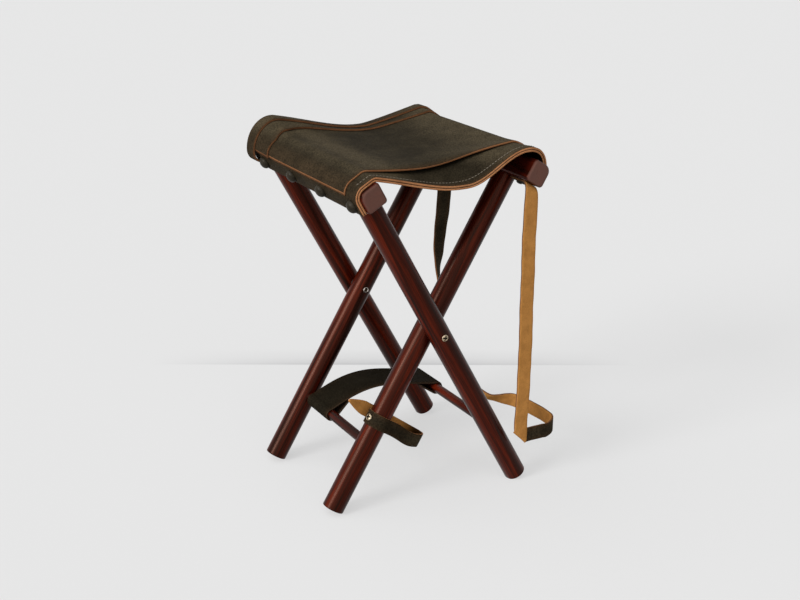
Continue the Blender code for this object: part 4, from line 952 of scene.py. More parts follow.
def carry_line(f, s):
    """The carry strap's middle surface in rows across it, from its front end to its rear end.

    It leaves the rail's underside, hangs plumb, folds over a slanting line so that its other
    face shows, turns toward the back standing on edge, and rises with a twist to its rear end.
    A row is a point of the centreline plus the columns' offsets along its width direction. At the
    fold a flat point at b past the fold line goes round a half cylinder: the angle is b over the
    radius, and beyond half a turn it runs back. Returns the rows and the columns' offsets.
    """
    turn = turn_of(f, "inner")
    across, along = frame_axes(turn)
    under = f.rail_side / 2 + f.gap + s.carry_thick / 2
    face = rail_centre(f, turn) - along * under + across * s.carry_out
    half = s.carry_width / 2
    fold_x = face[0] - 0.0020
    front = s.carry_front
    level = np.array([1.0, 0.0, 0.0])

    def tab(y_nail, y_bend, sign):
        start = face + ALONG_RAIL * y_nail
        stop = face + ALONG_RAIL * (y_bend - sign * s.carry_bend)
        return [(*(start + (stop - start) * k / 3), *across) for k in range(4)]

    drop = [
        (face[0], front + 0.0012, face[2] - 0.0040, *unit(across * 0.9 + level * 0.10)),
        (face[0], front, face[2] - 0.012, *unit(across * 0.7 + level * 0.30)),
        (face[0] - 0.0005, front, face[2] - 0.035, *unit(across * 0.2 + level * 0.80)),
        (face[0] - 0.0010, front, face[2] - 0.075, *level),
        (face[0] - 0.0005, front, 0.24, *level),
        (face[0], front, 0.165, *level),
        (fold_x, front, s.carry_fold + 2 * half, *level),
    ]
    hanging = through_points(tab(front + s.carry_tab, front, -1) + drop, 110)

    beta = math.radians(45.0)
    line = np.array([math.cos(beta), 0.0, -math.sin(beta)])
    past = np.array([-math.sin(beta), 0.0, -math.cos(beta)])
    radius = s.carry_fold_round
    fold_end = 2.2 * half + math.pi * radius / math.cos(beta)
    length = np.linspace(-1.6 * half, fold_end, 60)[:, None]
    columns = tight(-half, half, 9, 0.0007)
    flat = np.stack(np.broadcast_arrays(columns[None, :], 0 * length, -length), axis=-1)
    a = (flat @ line)[..., None]
    b = (flat @ past)[..., None]
    angle = np.clip(b / radius, 0.0, math.pi)
    beyond = np.maximum(0.0, b - math.pi * radius)
    centre = np.array([fold_x, front, s.carry_fold])
    folded = centre + a * line + radius * (1 - np.cos(angle)) * ALONG_RAIL
    folded = folded + (np.minimum(b, 0.0) + radius * np.sin(angle) - beyond) * past

    leave = folded[-1, len(columns) // 2]
    heading = np.array([math.sin(2 * beta), 0.0, math.cos(2 * beta)])
    down = np.array([math.cos(2 * beta), 0.0, -math.sin(2 * beta)])
    x = face[0] - 0.0026
    rail_z = face[2]

    def plan(degrees):
        return math.cos(math.radians(degrees)), math.sin(math.radians(degrees)), 0.0

    onward = [
        (*leave, *down),
        (*(leave + heading * 0.010), *down),
        (x + 0.0490, front + 0.0090, 0.0640, 0.0, 0.0, -1.0),
        (x + 0.0600, front + 0.0140, 0.0650, 0.0, 0.0, -1.0),
        (x + 0.0675, front + 0.0225, 0.0660, 0.0, 0.0, -1.0),
        (x + 0.0700, front + 0.0330, 0.0663, 0.0, 0.0, -1.0),
        (x + 0.0698, front + 0.0560, 0.0670, 0.0, 0.0, -1.0),
        (x + 0.0668, front + 0.0750, 0.0675, 0.0, 0.0, -1.0),
        (x + 0.0603, front + 0.0980, 0.0685, 0.0, 0.1, -1.0),
        (x + 0.0513, front + 0.1080, 0.0690, 0.1, 0.35, -0.9),
        (x + 0.0420, front + 0.1160, 0.0700, 0.2, 0.60, -0.7),
        (x + 0.0300, front + 0.1230, 0.0730, 0.2, 0.75, -0.6),
        (x + 0.0195, front + 0.1430, 0.0850, 0.2, 0.85, -0.5),
        (x + 0.0120, front + 0.1600, 0.1000, 0.2, 0.95, -0.35),
        (x + 0.0020, front + 0.1720, 0.1280, *plan(92)),
        (x - 0.0025, front + 0.1840, 0.1560, *plan(68)),
        (x - 0.0035, front + 0.1910, 0.1840, *plan(61)),
        (x - 0.0030, front + 0.1960, 0.2110, *plan(58)),
        (x - 0.0030, front + 0.2020, 0.2385, *plan(46)),
        (x - 0.0025, front + 0.2015, 0.2670, *plan(18)),
        (x - 0.0015, front + 0.1995, 0.2960, *plan(5)),
        (x - 0.0000, front + 0.1970, 0.3250, *plan(-6)),
        (x + 0.0005, s.carry_rear + 0.0005, 0.3535, *plan(-8)),
        (x, s.carry_rear, rail_z - 0.030, *unit(across * 0.3 + level * 0.7)),
        (x, s.carry_rear, rail_z - 0.012, *unit(across * 0.7 + level * 0.3)),
        (x, s.carry_rear - 0.0012, rail_z - 0.0040, *unit(across * 0.9 + level * 0.1)),
    ]
    rising = through_points(onward + tab(s.carry_rear - s.carry_tab, s.carry_rear, 1)[::-1], 240)

    def ribbon(rows):
        return rows[:, None, :3] + unit(rows[:, None, 3:6]) * columns[None, :, None]

    return np.concatenate([ribbon(hanging), folded[1:-1], ribbon(rising)]), columns


def closing_line(f, s):
    """The closing strap's centreline round the leg, in the inner frame's own axes.

    Part of a ring round the leg from the screw to the front, a straight run out to a small turn,
    a straight run back behind the leg, and a tail. Each point is (x, y, z).
    """
    ring = f.leg / 2 + f.gap + s.closing_thick / 2
    bend = s.closing_turn
    centre = s.closing_reach - bend
    lean = math.asin((ring - bend) / centre)

    def round_leg(start, stop, count):
        a = np.linspace(start, stop, count)
        return ring * np.stack([np.cos(a), np.sin(a)], axis=1)

    first = round_leg(math.radians(150), math.radians(270) + lean, 40)
    a = np.linspace(-math.pi / 2 + lean, math.pi / 2 - lean, 30)
    turn = np.stack([centre + bend * np.cos(a), bend * np.sin(a)], axis=1)
    back = round_leg(math.pi / 2 - lean, math.pi / 2, 8)
    part = np.linspace(0.0, 1.0, 24)[1:-1, None]
    tail = -s.closing_tail * np.linspace(0.0, 1.0, 30)[1:]
    tail = np.stack([tail, np.full(len(tail), ring)], axis=1)
    flat = np.concatenate([
        first, first[-1] + (turn[0] - first[-1]) * part, turn,
        turn[-1] + (back[0] - turn[-1]) * part, back, tail,
    ])
    run = run_of(flat)
    at = np.linspace(0.0, run[-1], 170)
    begin = run[len(first) - 1] / run[-1]
    far = run[len(first) + len(part) + len(turn) // 2] / run[-1]
    flat = resampled(flat, run, at)
    along = at / run[-1]
    dip = np.where(along < far, -0.4 * smooth(along / far), 0.0)
    climb = np.where(along < far, 0.0, -0.4 + 1.4 * (along - far) / (1 - far))
    droop = np.sin(math.pi * np.clip((along - begin) / (far - begin), 0.0, 1.0) ** 1.8) ** 1.4
    z = -s.closing_drop + s.closing_rise * (dip + climb) - s.closing_sag * droop
    return np.stack([flat[:, 0], flat[:, 1] - f.inner_leg_y, z], axis=1), run[-1] - at


def stretcher_centre(f, side):
    """A stretcher's centre in the world, at mid length."""
    drop = f.outer_drop if side == "outer" else f.inner_drop
    return PIVOT - frame_axes(turn_of(f, side))[1] * drop


def spreader_line(f, s):
    """The spreader strap's centreline in the XZ plane: a loop, an arch and a loop."""
    ring = f.stretcher / 2 + f.gap + s.spreader_thick / 2
    left, right = stretcher_centre(f, "inner"), stretcher_centre(f, "outer")
    left_top = left + ring * UP
    right_top = right + ring * UP

    def arch(x):
        t = np.clip((x - left_top[0]) / (right_top[0] - left_top[0]), 0.0, 1.0)
        bow = s.spreader_rise * np.sin(math.pi * t**0.8) ** 1.3
        return left_top[2] + (right_top[2] - left_top[2]) * t + bow

    def arc(centre, start, stop):
        a = np.linspace(start, stop, 48)[:, None]
        return centre + ring * np.concatenate([np.cos(a), 0 * a, np.sin(a)], axis=1)

    ends = []
    for centre, sign in ((left, 1), (right, -1)):
        x = centre[0] + sign * s.spreader_return
        tip = np.array([x, 0.0, float(arch(x)) - 1.15 * (s.spreader_thick + 2 * f.gap)])
        gap = tip - centre
        away = math.hypot(gap[0], gap[2])
        ends.append((tip, math.atan2(gap[2], gap[0]) - sign * math.acos(ring / away)))
    left_loop = arc(left, ends[0][1], math.pi / 2 - 2 * math.pi)
    right_loop = arc(right, math.pi / 2, ends[1][1] - 2 * math.pi)
    x = np.linspace(left_top[0], right_top[0], 90)[1:-1]
    middle = np.stack([x, 0 * x, arch(x)], axis=1)
    part = np.linspace(0.0, 1.0, 10)[:, None]
    first = ends[0][0] + (left_loop[0] - ends[0][0]) * part[:-1]
    last = right_loop[-1] + (ends[1][0] - right_loop[-1]) * part[1:]
    return np.concatenate([first, left_loop, middle, right_loop, last])


def dome(radius, height):
    """A dome head's profile: a quarter ellipse from its top to its rim, then its flat underside."""
    a = np.linspace(0.0, math.pi / 2, 18)
    curve = np.stack([radius * np.sin(a), height * (0.12 + 0.88 * np.cos(a))], axis=1)
    return np.concatenate([curve, [[radius, 0.0], [radius * 0.94, 0.0], [0.0, 0.0]]])


def cross_head(f, radius, height, under):
    """A dome head with a driver's cross: the turned head less a depth inside two crossing bars."""
    r = np.concatenate([np.linspace(0.0, 0.9, 30), np.linspace(0.91, 1.0, 8)]) * radius
    h = height * (0.30 + 0.70 * np.sqrt(np.clip(1.0 - (r / radius) ** 2.4, 0.0, 1.0)))
    profile = np.concatenate([np.stack([r, h], axis=1), [[radius, 0.0], [radius, -under], [0.0, -under]]])
    points, quads, tris = turned(profile, 96)
    long, wide = f.cross_length / 2, f.cross_width / 2

    def bar(p, q):
        return smooth((long - np.abs(p)) / 0.0004) * smooth((wide - np.abs(q)) / 0.0003 + 0.5)

    cut = np.maximum(bar(points[:, 0], points[:, 1]), bar(points[:, 1], points[:, 0]))
    upper = points[:, 2] > 0.2 * height
    cut = np.where(upper, cut, 0.0)
    points[:, 2] -= f.cross_depth * cut
    return points, quads, tris, cut


class STOOL_OT_stage(bpy.types.Operator):
    """Sets the floor, the soft studio light and the camera"""

    bl_idname = "stool.stage"
    bl_label = "Stage"

    def execute(self, context):
        c = context.scene.stool_colours
        self.camera(context.scene)
        self.floor(context.scene, c)
        sky = Shader("studio", world=True)
        sky.set(Color=SKY_TINT, Strength=sky.spread(sky.shown(), SKY_LIGHT, c.floor[0]))
        context.scene.world = sky.made
        for name, toward, strength, spread in SUNS:
            lamp = bpy.data.lights.new(name, "SUN")
            lamp.energy = strength
            lamp.angle = math.radians(spread)
            item = bpy.data.objects.new(name, lamp)
            item.location = Vector(toward) * 3.0
            item.rotation_euler = Vector(toward).to_track_quat("Z", "Y").to_euler()
            context.scene.collection.objects.link(item)
        return {"FINISHED"}

    def camera(self, scene):
        """The view from the front left, a little above the seat."""
        camera = bpy.data.cameras.new("camera")
        camera.sensor_width = 36.0
        camera.lens = VIEW_FOCUS / VIEW_WIDTH * camera.sensor_width
        camera.shift_x, camera.shift_y = (v / VIEW_WIDTH for v in VIEW_SHIFT)
        seen = bpy.data.objects.new("camera", camera)
        turn = (AIM - EYE).to_track_quat("-Z", "Y").to_matrix()
        turn = turn @ Matrix.Rotation(math.radians(VIEW_ROLL), 3, "Z")
        seen.matrix_world = Matrix.Translation(EYE) @ turn.to_4x4()
        scene.collection.objects.link(seen)
        scene.camera = seen
        scene.view_settings.view_transform = "Standard"

    def floor(self, scene, c):
        """A level square with a grey line of painted shade at its far edge, glowing for the camera and
        reflections.
        """
        square = FLOOR_HALF * np.array([[-1, -1, 0], [1, -1, 0], [1, 1, 0], [-1, 1, 0]])
        mesh = put_mesh("floor", square - UP * FLOOR_DROP, np.array([[0, 1, 2, 3]]))
        floor = bpy.data.objects.new("floor", mesh)
        scene.collection.objects.link(floor)
        sh = Shader("pale_floor")
        look = math.atan2((AIM - EYE).x, (AIM - EYE).y)
        swung = sh.add("Mapping", Vector=sh.spot(), Rotation=(0.0, 0.0, look))
        place = sh.add("SeparateXYZ", Vector=(swung, "Vector"))
        level, line = np.array(c.floor), np.array(c.line)
        shade = sh.ramp((place, "Y"), [(at, level + (line - level) * share) for at, share in LINE_STOPS])
        fade = sh.spread(sh.calc("ABSOLUTE", (place, "X")), 1.0, 0.0, *LINE_FADE)
        tone = sh.mixed(fade, c.floor, shade)
        seen = sh.shown()
        dull = sh.mixed(1.0, tone, (1.0 - FLOOR_GLOW,) * 3, "MULTIPLY")
        sh.set(Base_Color=sh.mixed(seen, toned(c.floor, FLOOR_BOUNCE), dull), Roughness=0.9)
        sh.set(Specular_IOR_Level=0.0, Emission_Color=tone)
        sh.set(Emission_Strength=sh.spread(seen, 0.0, FLOOR_GLOW))
        sh.made.cycles.emission_sampling = "NONE"
        mesh.materials.append(sh.made)


class STOOL_OT_carry_strap(bpy.types.Operator):
    """Builds the long carry strap that hangs under the right rail, and its two nails"""

    bl_idname = "stool.carry_strap"
    bl_label = "Carry strap"

    def execute(self, context):
        f, s = context.scene.stool_frame, context.scene.stool_leather
        rows, columns = carry_line(f, s)
        run = run_of(rows[:, len(columns) // 2])
        wave = sum(high * np.sin(2 * math.pi * run / long + phase) for high, long, phase in CARRY_WAVES)
        ease = smooth((run - CARRY_CALM) / CARRY_CALM) * smooth((run[-1] - CARRY_CALM - run) / CARRY_CALM)
        normal = unit(np.cross(np.gradient(rows, axis=1), np.gradient(rows, axis=0)))
        rows = rows + normal * (wave * ease)[:, None, None]
        mesh = leather_shell("carry_strap", rows, s.carry_thick, columns[None, :], run[:, None])
        # The carry strap's grain side is the paler copy, painted light.
        looks = [finish("lit_carry_grain"), finish("flesh"), finish("worn_edge")]
        strap = piece("carry_strap_leather", mesh, looks, ["carry_strap"], "inner_frame")
        turn = turn_of(f, "inner")
        under = rise(f, turn) - f.rail_side / 2 - s.carry_thick - 2 * f.gap
        places = (
            ("front", s.carry_front + s.carry_tab - s.carry_nail_in),
            ("rear", s.carry_rear - s.carry_tab + s.carry_nail_in),
        )
        across, along = frame_axes(turn)
        for end, y in places:
            head = turned(dome(s.carry_nail / 2, s.carry_nail_height), 40)
            place = (in_world(turn, (s.carry_out, y, under)), -along, across)
            turned_piece(f"carry_nail_{end}", "dome", head, place, "nail", "inner_frame")
        return {"FINISHED"}


class STOOL_OT_frames(bpy.types.Operator):
    """Builds the legs, rails and stretchers of both frames"""

    bl_idname = "stool.frames"
    bl_label = "Wooden frames"

    def execute(self, context):
        f = context.scene.stool_frame
        for side, leg_y, drop, rail, sign in (
            ("outer", f.outer_leg_y, f.outer_drop, "rail_left", -1.0),
            ("inner", f.inner_leg_y, f.inner_drop, "rail_right", 1.0),
        ):
            turn = turn_of(f, side)
            body = f"{side}_frame"
            self.legs(f, side, turn, leg_y, body)
            self.rail(f, rail, turn, sign, body)
            self.stretcher(f, f"stretcher_{side}", turn, leg_y, drop, body)
        return {"FINISHED"}

    def legs(self, f, side, turn, leg_y, body):
        """Round legs: a circle carried down the leg, a rounded foot edge, and a sunk ring at the pivot.

        Point (row, column) is (r cos a, r sin a, h), kept above the floor. Near the pivot the grid is
        drawn into circles about the pivot's axis; inside the ring's radius it drops to a level floor.
        """
        foot = -reach(f, turn)
        top = rise(f, turn) - f.rail_side / 2 - f.gap
        radius = f.leg / 2
        chamfer = f.foot_chamfer
        reach_round, steps = 0.7, 33
        centre, rim = steps // 2, steps // 4
        patch = reach_round * radius
        a = np.linspace(0.0, math.pi / 2, 7)
        edge = np.stack([radius - chamfer * (1 - np.cos(a)), foot + chamfer * (1 - np.sin(a))], axis=1)
        upper = np.linspace(top, patch, 34)[:-1]
        middle = np.linspace(patch, -patch, steps)
        under = np.linspace(-patch, foot + 1.5 * chamfer, 34)[1:]
        straight = np.concatenate([upper, middle, under])
        barrel = np.stack([np.full(len(straight), radius), straight], axis=1)
        base = np.stack([np.linspace(radius - chamfer, 0.0, 9)[1:], np.full(8, foot)], axis=1)
        profile = np.concatenate([[[0.0, top], [radius * 0.5, top]], barrel, edge, base])
        near = np.arcsin(np.linspace(-reach_round, reach_round, steps))
        far = np.linspace(near[-1], 2 * math.pi + near[0], 56)[1:-1]
        hole, depth = (f.nut, NUT_HOLE) if side == "inner" else (f.bolt_head, f.bolt_seat)
        hole = hole / 2 + f.gap
        for number, (end, sign) in enumerate((("front", -1.0), ("rear", 1.0))):
            facing = sign if side == "outer" else -sign
            points, quads, tris = turned(profile, facing * math.pi / 2 + np.concatenate([near, far]))
            width = len(near) + len(far)
            rings = points[: len(points) // width * width].reshape(-1, width, 3)
            block = rings[1 + len(upper) : 1 + len(upper) + steps, :steps]
            p, q = block[..., 0] / patch, block[..., 2] / patch
            square = np.maximum(np.abs(p), np.abs(q))
            inside = np.round(square * centre) < rim + 0.5
            toward = np.hypot(p, q)
            square[centre, centre] = toward[centre, centre] = 1.0
            circle = 1.0 + (square / toward - 1.0) * smooth((1.0 - square) / 0.3)
            ring = np.interp(square * centre, [0, rim, rim + 1, centre], [0.0, hole - 0.00003, hole, patch])
            block[..., 0] = ring * p / square * circle
            block[..., 2] = ring * q / square * circle
            surface = np.sqrt(radius**2 - block[..., 0] ** 2)
            block[..., 1] = facing * np.where(inside, np.minimum(surface, radius - depth), surface)
            local = points + np.array([0.0, sign * leg_y, 0.0])
            world = in_world(turn, local)
            world[:, 2] = np.maximum(world[:, 2], 0.0)
            name = f"leg_{end}_{side}"
            seed = np.array([0.31 * number, 0.17 + 0.53 * number, 0.9 * turn + 0.4 * number])
            mesh = put_mesh(name, world, quads, tris, grain=local + seed, sharp=50)
            piece(name + "_turned", mesh, [finish("wood")], [name], body)

    def rail(self, f, name, turn, outward, body):
        """A square bar along Y: a rounded section carried along it and drawn in at rounded ends.

        The section runs round four corner arcs, the upper outer one larger. A row at y is the
        section scaled about its centre, by 1 along the bar and by a quarter round at the ends.
        """
        half = f.rail_side / 2
        corners = []
        for k, (sx, sz) in enumerate(((1, 1), (-1, 1), (-1, -1), (1, -1))):
            radius = f.rail_wrap_round if sz > 0 and sx == outward else f.rail_round
            a = math.pi / 2 * k + np.linspace(0.0, math.pi / 2, 13)
            centre = np.array([sx * (half - radius), sz * (half - radius)])
            corners.append(centre + radius * np.stack([np.cos(a), np.sin(a)], axis=1))
        section = np.concatenate(corners)
        end = f.rail_length / 2
        a = np.linspace(0.0, math.pi / 2, 8)
        inset = f.rail_end_round * (1 - np.sin(a))
        flat_end = np.linspace(0.0, 1.0, 7)[1:-1] * (1 - f.rail_end_round / half)
        scale = np.concatenate([flat_end, 1 - inset / half])
        place = np.concatenate([np.zeros(len(flat_end)), f.rail_end_round * (1 - np.cos(a))])
        body_y = np.linspace(-end + f.rail_end_round, end - f.rail_end_round, 60)[1:-1]
        rows = np.concatenate([scale, np.ones(len(body_y)), scale[::-1]])
        y = np.concatenate([-end + place, body_y, end - place[::-1]])
        flat = rows[:, None, None] * section[None]
        local = np.stack(np.broadcast_arrays(flat[..., 0], y[:, None], flat[..., 1]), axis=-1)
        count = len(section)
        quads = grid(len(rows), count, ring=True)[:, ::-1]
        local, tris = capped(local.reshape(-1, 3), count, (0.0, -end, 0.0), (0.0, end, 0.0))
        fade = END_FACE_PALENESS * smooth(1 - place / (0.6 * f.rail_end_round))
        cut = np.repeat(np.concatenate([fade, np.zeros(len(body_y)), fade[::-1]]), count)
        cut = np.concatenate([cut, [END_FACE_PALENESS, END_FACE_PALENESS]])
        world = in_world(turn, local + np.array([0.0, 0.0, rise(f, turn)]))
        grain = local[:, [0, 2, 1]] * np.array([0.3, 0.3, 1.0]) + np.array([0.7 * outward, 0.2, 0.35])
        mesh = put_mesh(name, world, quads, tris, grain=grain, pale=cut, sharp=50)
        piece(name + "_bar", mesh, [finish("wood")], [name], body)

    def stretcher(self, f, name, turn, leg_y, drop, body):
        """A thin round dowel that ends inside the two legs."""
        half = leg_y - f.leg / 2 + STRETCHER_SUNK
        y = np.linspace(half, -half, 40)
        barrel = np.stack([np.full(len(y), f.stretcher / 2), y], axis=1)
        profile = np.concatenate([[[0.0, half]], barrel, [[0.0, -half]]])
        points, quads, tris = turned(profile, 40)
        local = stand(points, np.array([0.0, 0.0, -drop]), (0.0, 1.0, 0.0), (1.0, 0.0, 0.0))
        mesh = put_mesh(name, in_world(turn, local), quads, tris, grain=points + 0.37 + drop, sharp=50)
        piece(name + "_dowel", mesh, [finish("wood")], [name], body)


class STOOL_OT_pivots(bpy.types.Operator):
    """Builds the bolts, sleeve nuts and washers on the pivot axis"""

    bl_idname = "stool.pivots"
    bl_label = "Pivots"

    def execute(self, context):
        f = context.scene.stool_frame
        turn = turn_of(f, "outer")
        across, along = frame_axes(turn)
        seat = f.outer_leg_y + f.leg / 2 - f.bolt_seat + f.gap
        inside = f.inner_leg_y - f.leg / 2
        shank = f.nut_bore / 2 - f.gap
        for end, sign in (("front", -1.0), ("rear", 1.0)):
            out = sign * ALONG_RAIL
            points, quads, tris, cut = cross_head(f, f.bolt_head / 2, f.bolt_height, 0.0004)
            tip = seat - (inside + f.nut_recess)
            point = 0.0006
            rod, rod_quads, rod_tris = turned(
                [(0.0, 0.0), (shank, 0.0), (shank, -tip + point), (shank - point, -tip), (0.0, -tip)], 32
            )
            quads = np.concatenate([quads, rod_quads + len(points)])
            tris = np.concatenate([tris, rod_tris + len(points)])
            points = np.concatenate([points, rod])
            # Painted shade: the cross recess and the rod in the sleeve's hole are darkened.
            dark = np.concatenate([cut, np.full(len(rod), 0.7)])
            place = (PIVOT + out * seat, out, across + along)
            bolt = (points, quads, tris)
            turned_piece(f"pivot_bolt_{end}", "cross", bolt, place, "tarnished", "outer_frame", dark)
            ring, hole, edge = f.nut / 2, f.nut_bore / 2, 0.0004
            nut = [
                (ring, f.nut_length), (ring, edge), (ring - edge, 0.0),
                (hole + edge, 0.0), (hole, edge), (hole, f.nut_length),
            ]
            # Painted shade: the rings inside the sleeve's bore are darkened.
            dark = np.repeat([0.0, 0.0, 0.0, 0.0, 0.4, 0.8], 64)
            place = (PIVOT + out * inside, out, across)
            nut = turned(nut, 64, close=True)
            turned_piece(f"pivot_nut_{end}", "sleeve", nut, place, "plated", "outer_frame", dark)
            near = f.inner_leg_y + f.leg / 2 + f.gap
            far = f.outer_leg_y - f.leg / 2 - f.gap
            wide, edge = f.washer / 2, 0.0003
            disc = [
                (wide - edge, far), (wide, far - edge), (wide, near + edge), (wide - edge, near),
                (hole, near), (hole, far),
            ]
            disc, place = turned(disc, 64, close=True), (PIVOT, out, across)
            turned_piece(f"pivot_washer_{end}", "disc", disc, place, "washer", "outer_frame")
        return {"FINISHED"}


class STOOL_OT_seat(bpy.types.Operator):
    """Builds the doubled sling, the panel, the rear strip, the rear band and the front seam"""

    bl_idname = "stool.seat"
    bl_label = "Leather seat"

    def execute(self, context):
        f, s = context.scene.stool_frame, context.scene.stool_leather
        form = SeatForm(f, s)
        flap, corner = form.left.flap, form.left.corner
        left_end = (flap + corner / 4) / form.left.run
        right_end = 3.0 - (flap + corner / 4) / form.right.run
        band_left = 0.5 * flap / form.left.run
        band_right = 3.0 - 0.5 * flap / form.right.run
        strip = s.rear - s.strip
        band = s.rear - s.band

        def straight(y):
            return lambda u: np.full(len(u), y)

        def panel_edge(u):
            share = form.share(u, np.zeros(len(u)))
            return form.before(u, s.front + s.panel_left + (s.panel_right - s.panel_left) * share)

        def flared(y, flare):
            def edge(u):
                share = form.share(u, np.zeros(len(u)))
                return y - flare * np.maximum(0.0, 1.0 - 4.0 * share) ** 2

            return edge

        def band_level(u):
            run = np.where(u < 1.5, u * form.left.run, (3.0 - u) * form.right.run)
            return 2.0 + 2.0 * smooth((run - 0.5 * flap) / (0.5 * flap + corner / 4))

        def flat(level):
            return lambda u: np.full(u.shape, float(level))

        back, bridge = s.rear - s.rear_step, s.panel_bridge
        layers = (
            ("sling_lower", flat(0), straight(s.front), s.rear, 0.0, 3.0, 0.0),
            ("sling_upper", flat(1), straight(s.front), s.rear, 0.0, 3.0, 0.0),
            ("seat_panel", flat(2), panel_edge, back, left_end, right_end, bridge),
            ("rear_strip", flat(3), flared(strip, s.strip_flare), back, left_end, right_end, bridge),
            ("rear_band", band_level, flared(band, s.band_flare), s.rear, band_left, band_right, bridge),
        )
        for layer in layers:
            seat_layer(form, *layer)
        self.seam(form)
        return {"FINISHED"}

    def seam(self, form):
        """Stitches along the front lip: one short capsule carried to evenly spaced places.

        A capsule is turned about the seam: half its length times cosine a along it, and its
        radius times sine a to the power 0.7.
        """
        s = form.s
        u = np.linspace(*SEAM_ENDS, 1200)
        y = np.full(len(u), s.front + s.seam_in)
        line = form.raised(u, y, 2 * (s.leather + form.f.gap) - form.f.gap + 0.00005)
        run = run_of(line)
        count = int(run[-1] / (STITCH_STEP * s.stitch))
        at = (np.arange(count) + 0.5) * run[-1] / count
        spot = resampled(line, run, at)
        along = unit(resampled(line, run, at + 0.0005) - spot)
        side = np.broadcast_to(ALONG_RAIL, along.shape)
        up = np.cross(along, side)
        a = np.linspace(0.0, math.pi, 9)
        profile = np.stack([THREAD * np.abs(np.sin(a)) ** 0.7, 0.5 * s.stitch * np.cos(a)], axis=1)
        profile[[0, -1], 0] = 0.0
        shape, quads, tris = turned(profile, 8)
        points = spot[:, None] + shape[None, :, :1] * side[:, None] + shape[None, :, 1:2] * up[:, None]
        points = points + shape[None, :, 2:] * along[:, None]
        offset = np.arange(count)[:, None, None] * len(shape)
        mesh = put_mesh("front_seam", points, (quads + offset).reshape(-1, 4), (tris + offset).reshape(-1, 3))
        item = piece("front_seam_stitches", mesh, [finish("thread")], [])
        blend_start(form)
        blend_stop(form)
        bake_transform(item)


class STOOL_OT_nails(bpy.types.Operator):
    """Builds the dome nails through both flaps"""

    bl_idname = "stool.nails"
    bl_label = "Dome nails"

    def execute(self, context):
        f, s = context.scene.stool_frame, context.scene.stool_leather
        stack = f.rail_side / 2 + f.gap + 2 * (s.leather + f.gap)
        first = s.front + s.nail_front
        last = s.rear - s.band - s.band_flare - s.nail / 2 - s.nail_gap
        sides = (("left", "outer", -1.0, 0.0), ("right", "inner", 1.0, s.right_back))
        for side, frame_side, sign, back in sides:
            turn = turn_of(f, frame_side)
            across, along = frame_axes(turn)
            for k, y in enumerate(np.linspace(first + back, last, 4)):
                points, quads, tris = turned(dome(s.nail / 2, s.nail_height), 56)
                dent = 0.00012 * np.sin(points[:, 0] * 2100 + k) * np.sin(points[:, 1] * 1900 + 2 * k)
                points[:, 2] += np.where(points[:, 2] > 0.0008, dent, 0.0)
                spot = in_world(turn, (sign * stack, y, rise(f, turn) + s.nail_up))
                turned_piece(
                    f"nail_{side}_{k + 1}", "dome", (points, quads, tris), (spot, sign * across, along),
                    "nail", f"{frame_side}_frame", sharp=50,
                )
        return {"FINISHED"}


class STOOL_OT_closing_strap(bpy.types.Operator):
    """Builds the short strap round the front inner leg, and its screw"""

    bl_idname = "stool.closing_strap"
    bl_label = "Closing strap"

    def execute(self, context):
        f, s = context.scene.stool_frame, context.scene.stool_leather
        turn = turn_of(f, "inner")
        across, along = frame_axes(turn)
        line, tail = closing_line(f, s)
        end = tail[np.argmax(line[:, 0])]
        line = in_world(turn, line)
        half = s.closing_width / 2
        narrow = half * (1.0 - 0.85 * np.maximum(0.0, 1.0 - tail / s.closing_point) ** 1.4)
        share = tight(-1.0, 1.0, 9, 0.08)
        wide = narrow[:, None] * share[None]
        rows = line[:, None] + wide[..., None] * along
        run = run_of(line)
        # Painted shade: the flesh side is darkened inside the loop's turn; the tail is also darker toward its
        # point.
        strength, length, fade = TAIL_DARKENING
        stain = smooth(1.3 - np.abs(tail - end) / TURN_SHADE_REACH) + strength * smooth((length - tail) / fade)
        mesh = leather_shell("closing_strap", rows, s.closing_thick, wide, run[:, None], pale=stain[:, None])
        looks = [finish("flesh"), finish("strap_grain"), finish("edge")]
        strap = piece("closing_strap_leather", mesh, looks, ["closing_strap"])
        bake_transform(strap)
        out = math.cos(SCREW_ANGLE) * across + math.sin(SCREW_ANGLE) * ALONG_RAIL
        under = f.leg / 2 + s.closing_thick + 2 * f.gap
        spot = in_world(turn, (0.0, -f.inner_leg_y, -s.closing_drop)) + out * under
        *head, cut = cross_head(f, f.screw_head / 2, f.screw_height, 0.0002)
        place = (spot, out, along + SCREW_TWIST * ALONG_RAIL)
        # Painted shade: the screw's cross recess is darkened.
        turned_piece("closing_screw", "cross", head, place, "tarnished", "inner_frame", wear_and_shade=cut)
        return {"FINISHED"}


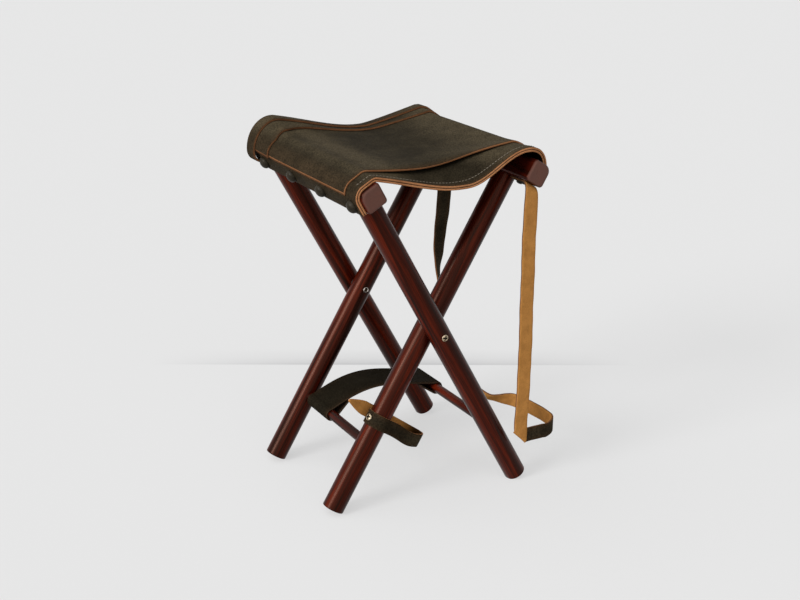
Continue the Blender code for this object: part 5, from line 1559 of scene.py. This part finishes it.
class STOOL_OT_spreader(bpy.types.Operator):
    """Builds the wide strap looped round both stretchers"""

    bl_idname = "stool.spreader"
    bl_label = "Spreader strap"

    def execute(self, context):
        f, s = context.scene.stool_frame, context.scene.stool_leather
        line = spreader_line(f, s)
        run = run_of(line)
        half = s.spreader_width / 2
        columns = tight(-half, half, 24, 0.0008)
        rows = line[:, None] + (s.spreader_y + columns)[None, :, None] * ALONG_RAIL
        mesh = leather_shell("spreader_strap", rows, s.spreader_thick, columns[None, :], run[:, None])
        # The spreader's underside gets the dark flesh finish, painted shade.
        looks = [finish("under"), finish("dark_grain"), finish("waxed_edge")]
        strap = piece("spreader_strap_leather", mesh, looks, ["spreader_strap"])
        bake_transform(strap)
        return {"FINISHED"}


class STOOL_PT_panel(bpy.types.Panel):
    """Lists the stool's pieces"""

    bl_idname = "STOOL_PT_panel"
    bl_label = "Folding stool"
    bl_space_type = "VIEW_3D"
    bl_region_type = "UI"
    bl_category = "Stool"

    def draw(self, context):
        for operator in OPERATORS:
            self.layout.operator(operator.bl_idname)


OPERATORS = (
    STOOL_OT_stage,
    STOOL_OT_carry_strap,
    STOOL_OT_frames,
    STOOL_OT_pivots,
    STOOL_OT_seat,
    STOOL_OT_nails,
    STOOL_OT_closing_strap,
    STOOL_OT_spreader,
)
CLASSES = (StoolFrameSizes, StoolLeatherSizes, StoolColours, *OPERATORS, STOOL_PT_panel)


def register():
    for item in CLASSES:
        bpy.utils.register_class(item)
    bpy.types.Scene.stool_frame = bpy.props.PointerProperty(type=StoolFrameSizes)
    bpy.types.Scene.stool_leather = bpy.props.PointerProperty(type=StoolLeatherSizes)
    bpy.types.Scene.stool_colours = bpy.props.PointerProperty(type=StoolColours)


def unregister():
    del bpy.types.Scene.stool_colours
    del bpy.types.Scene.stool_leather
    del bpy.types.Scene.stool_frame
    for item in reversed(CLASSES):
        bpy.utils.unregister_class(item)


def main():
    register()
    bpy.ops.stool.stage()
    bpy.ops.stool.carry_strap()
    bpy.ops.stool.frames()
    bpy.ops.stool.pivots()
    bpy.ops.stool.seat()
    bpy.ops.stool.nails()
    bpy.ops.stool.closing_strap()
    bpy.ops.stool.spreader()


if __name__ == "__main__":
    main()
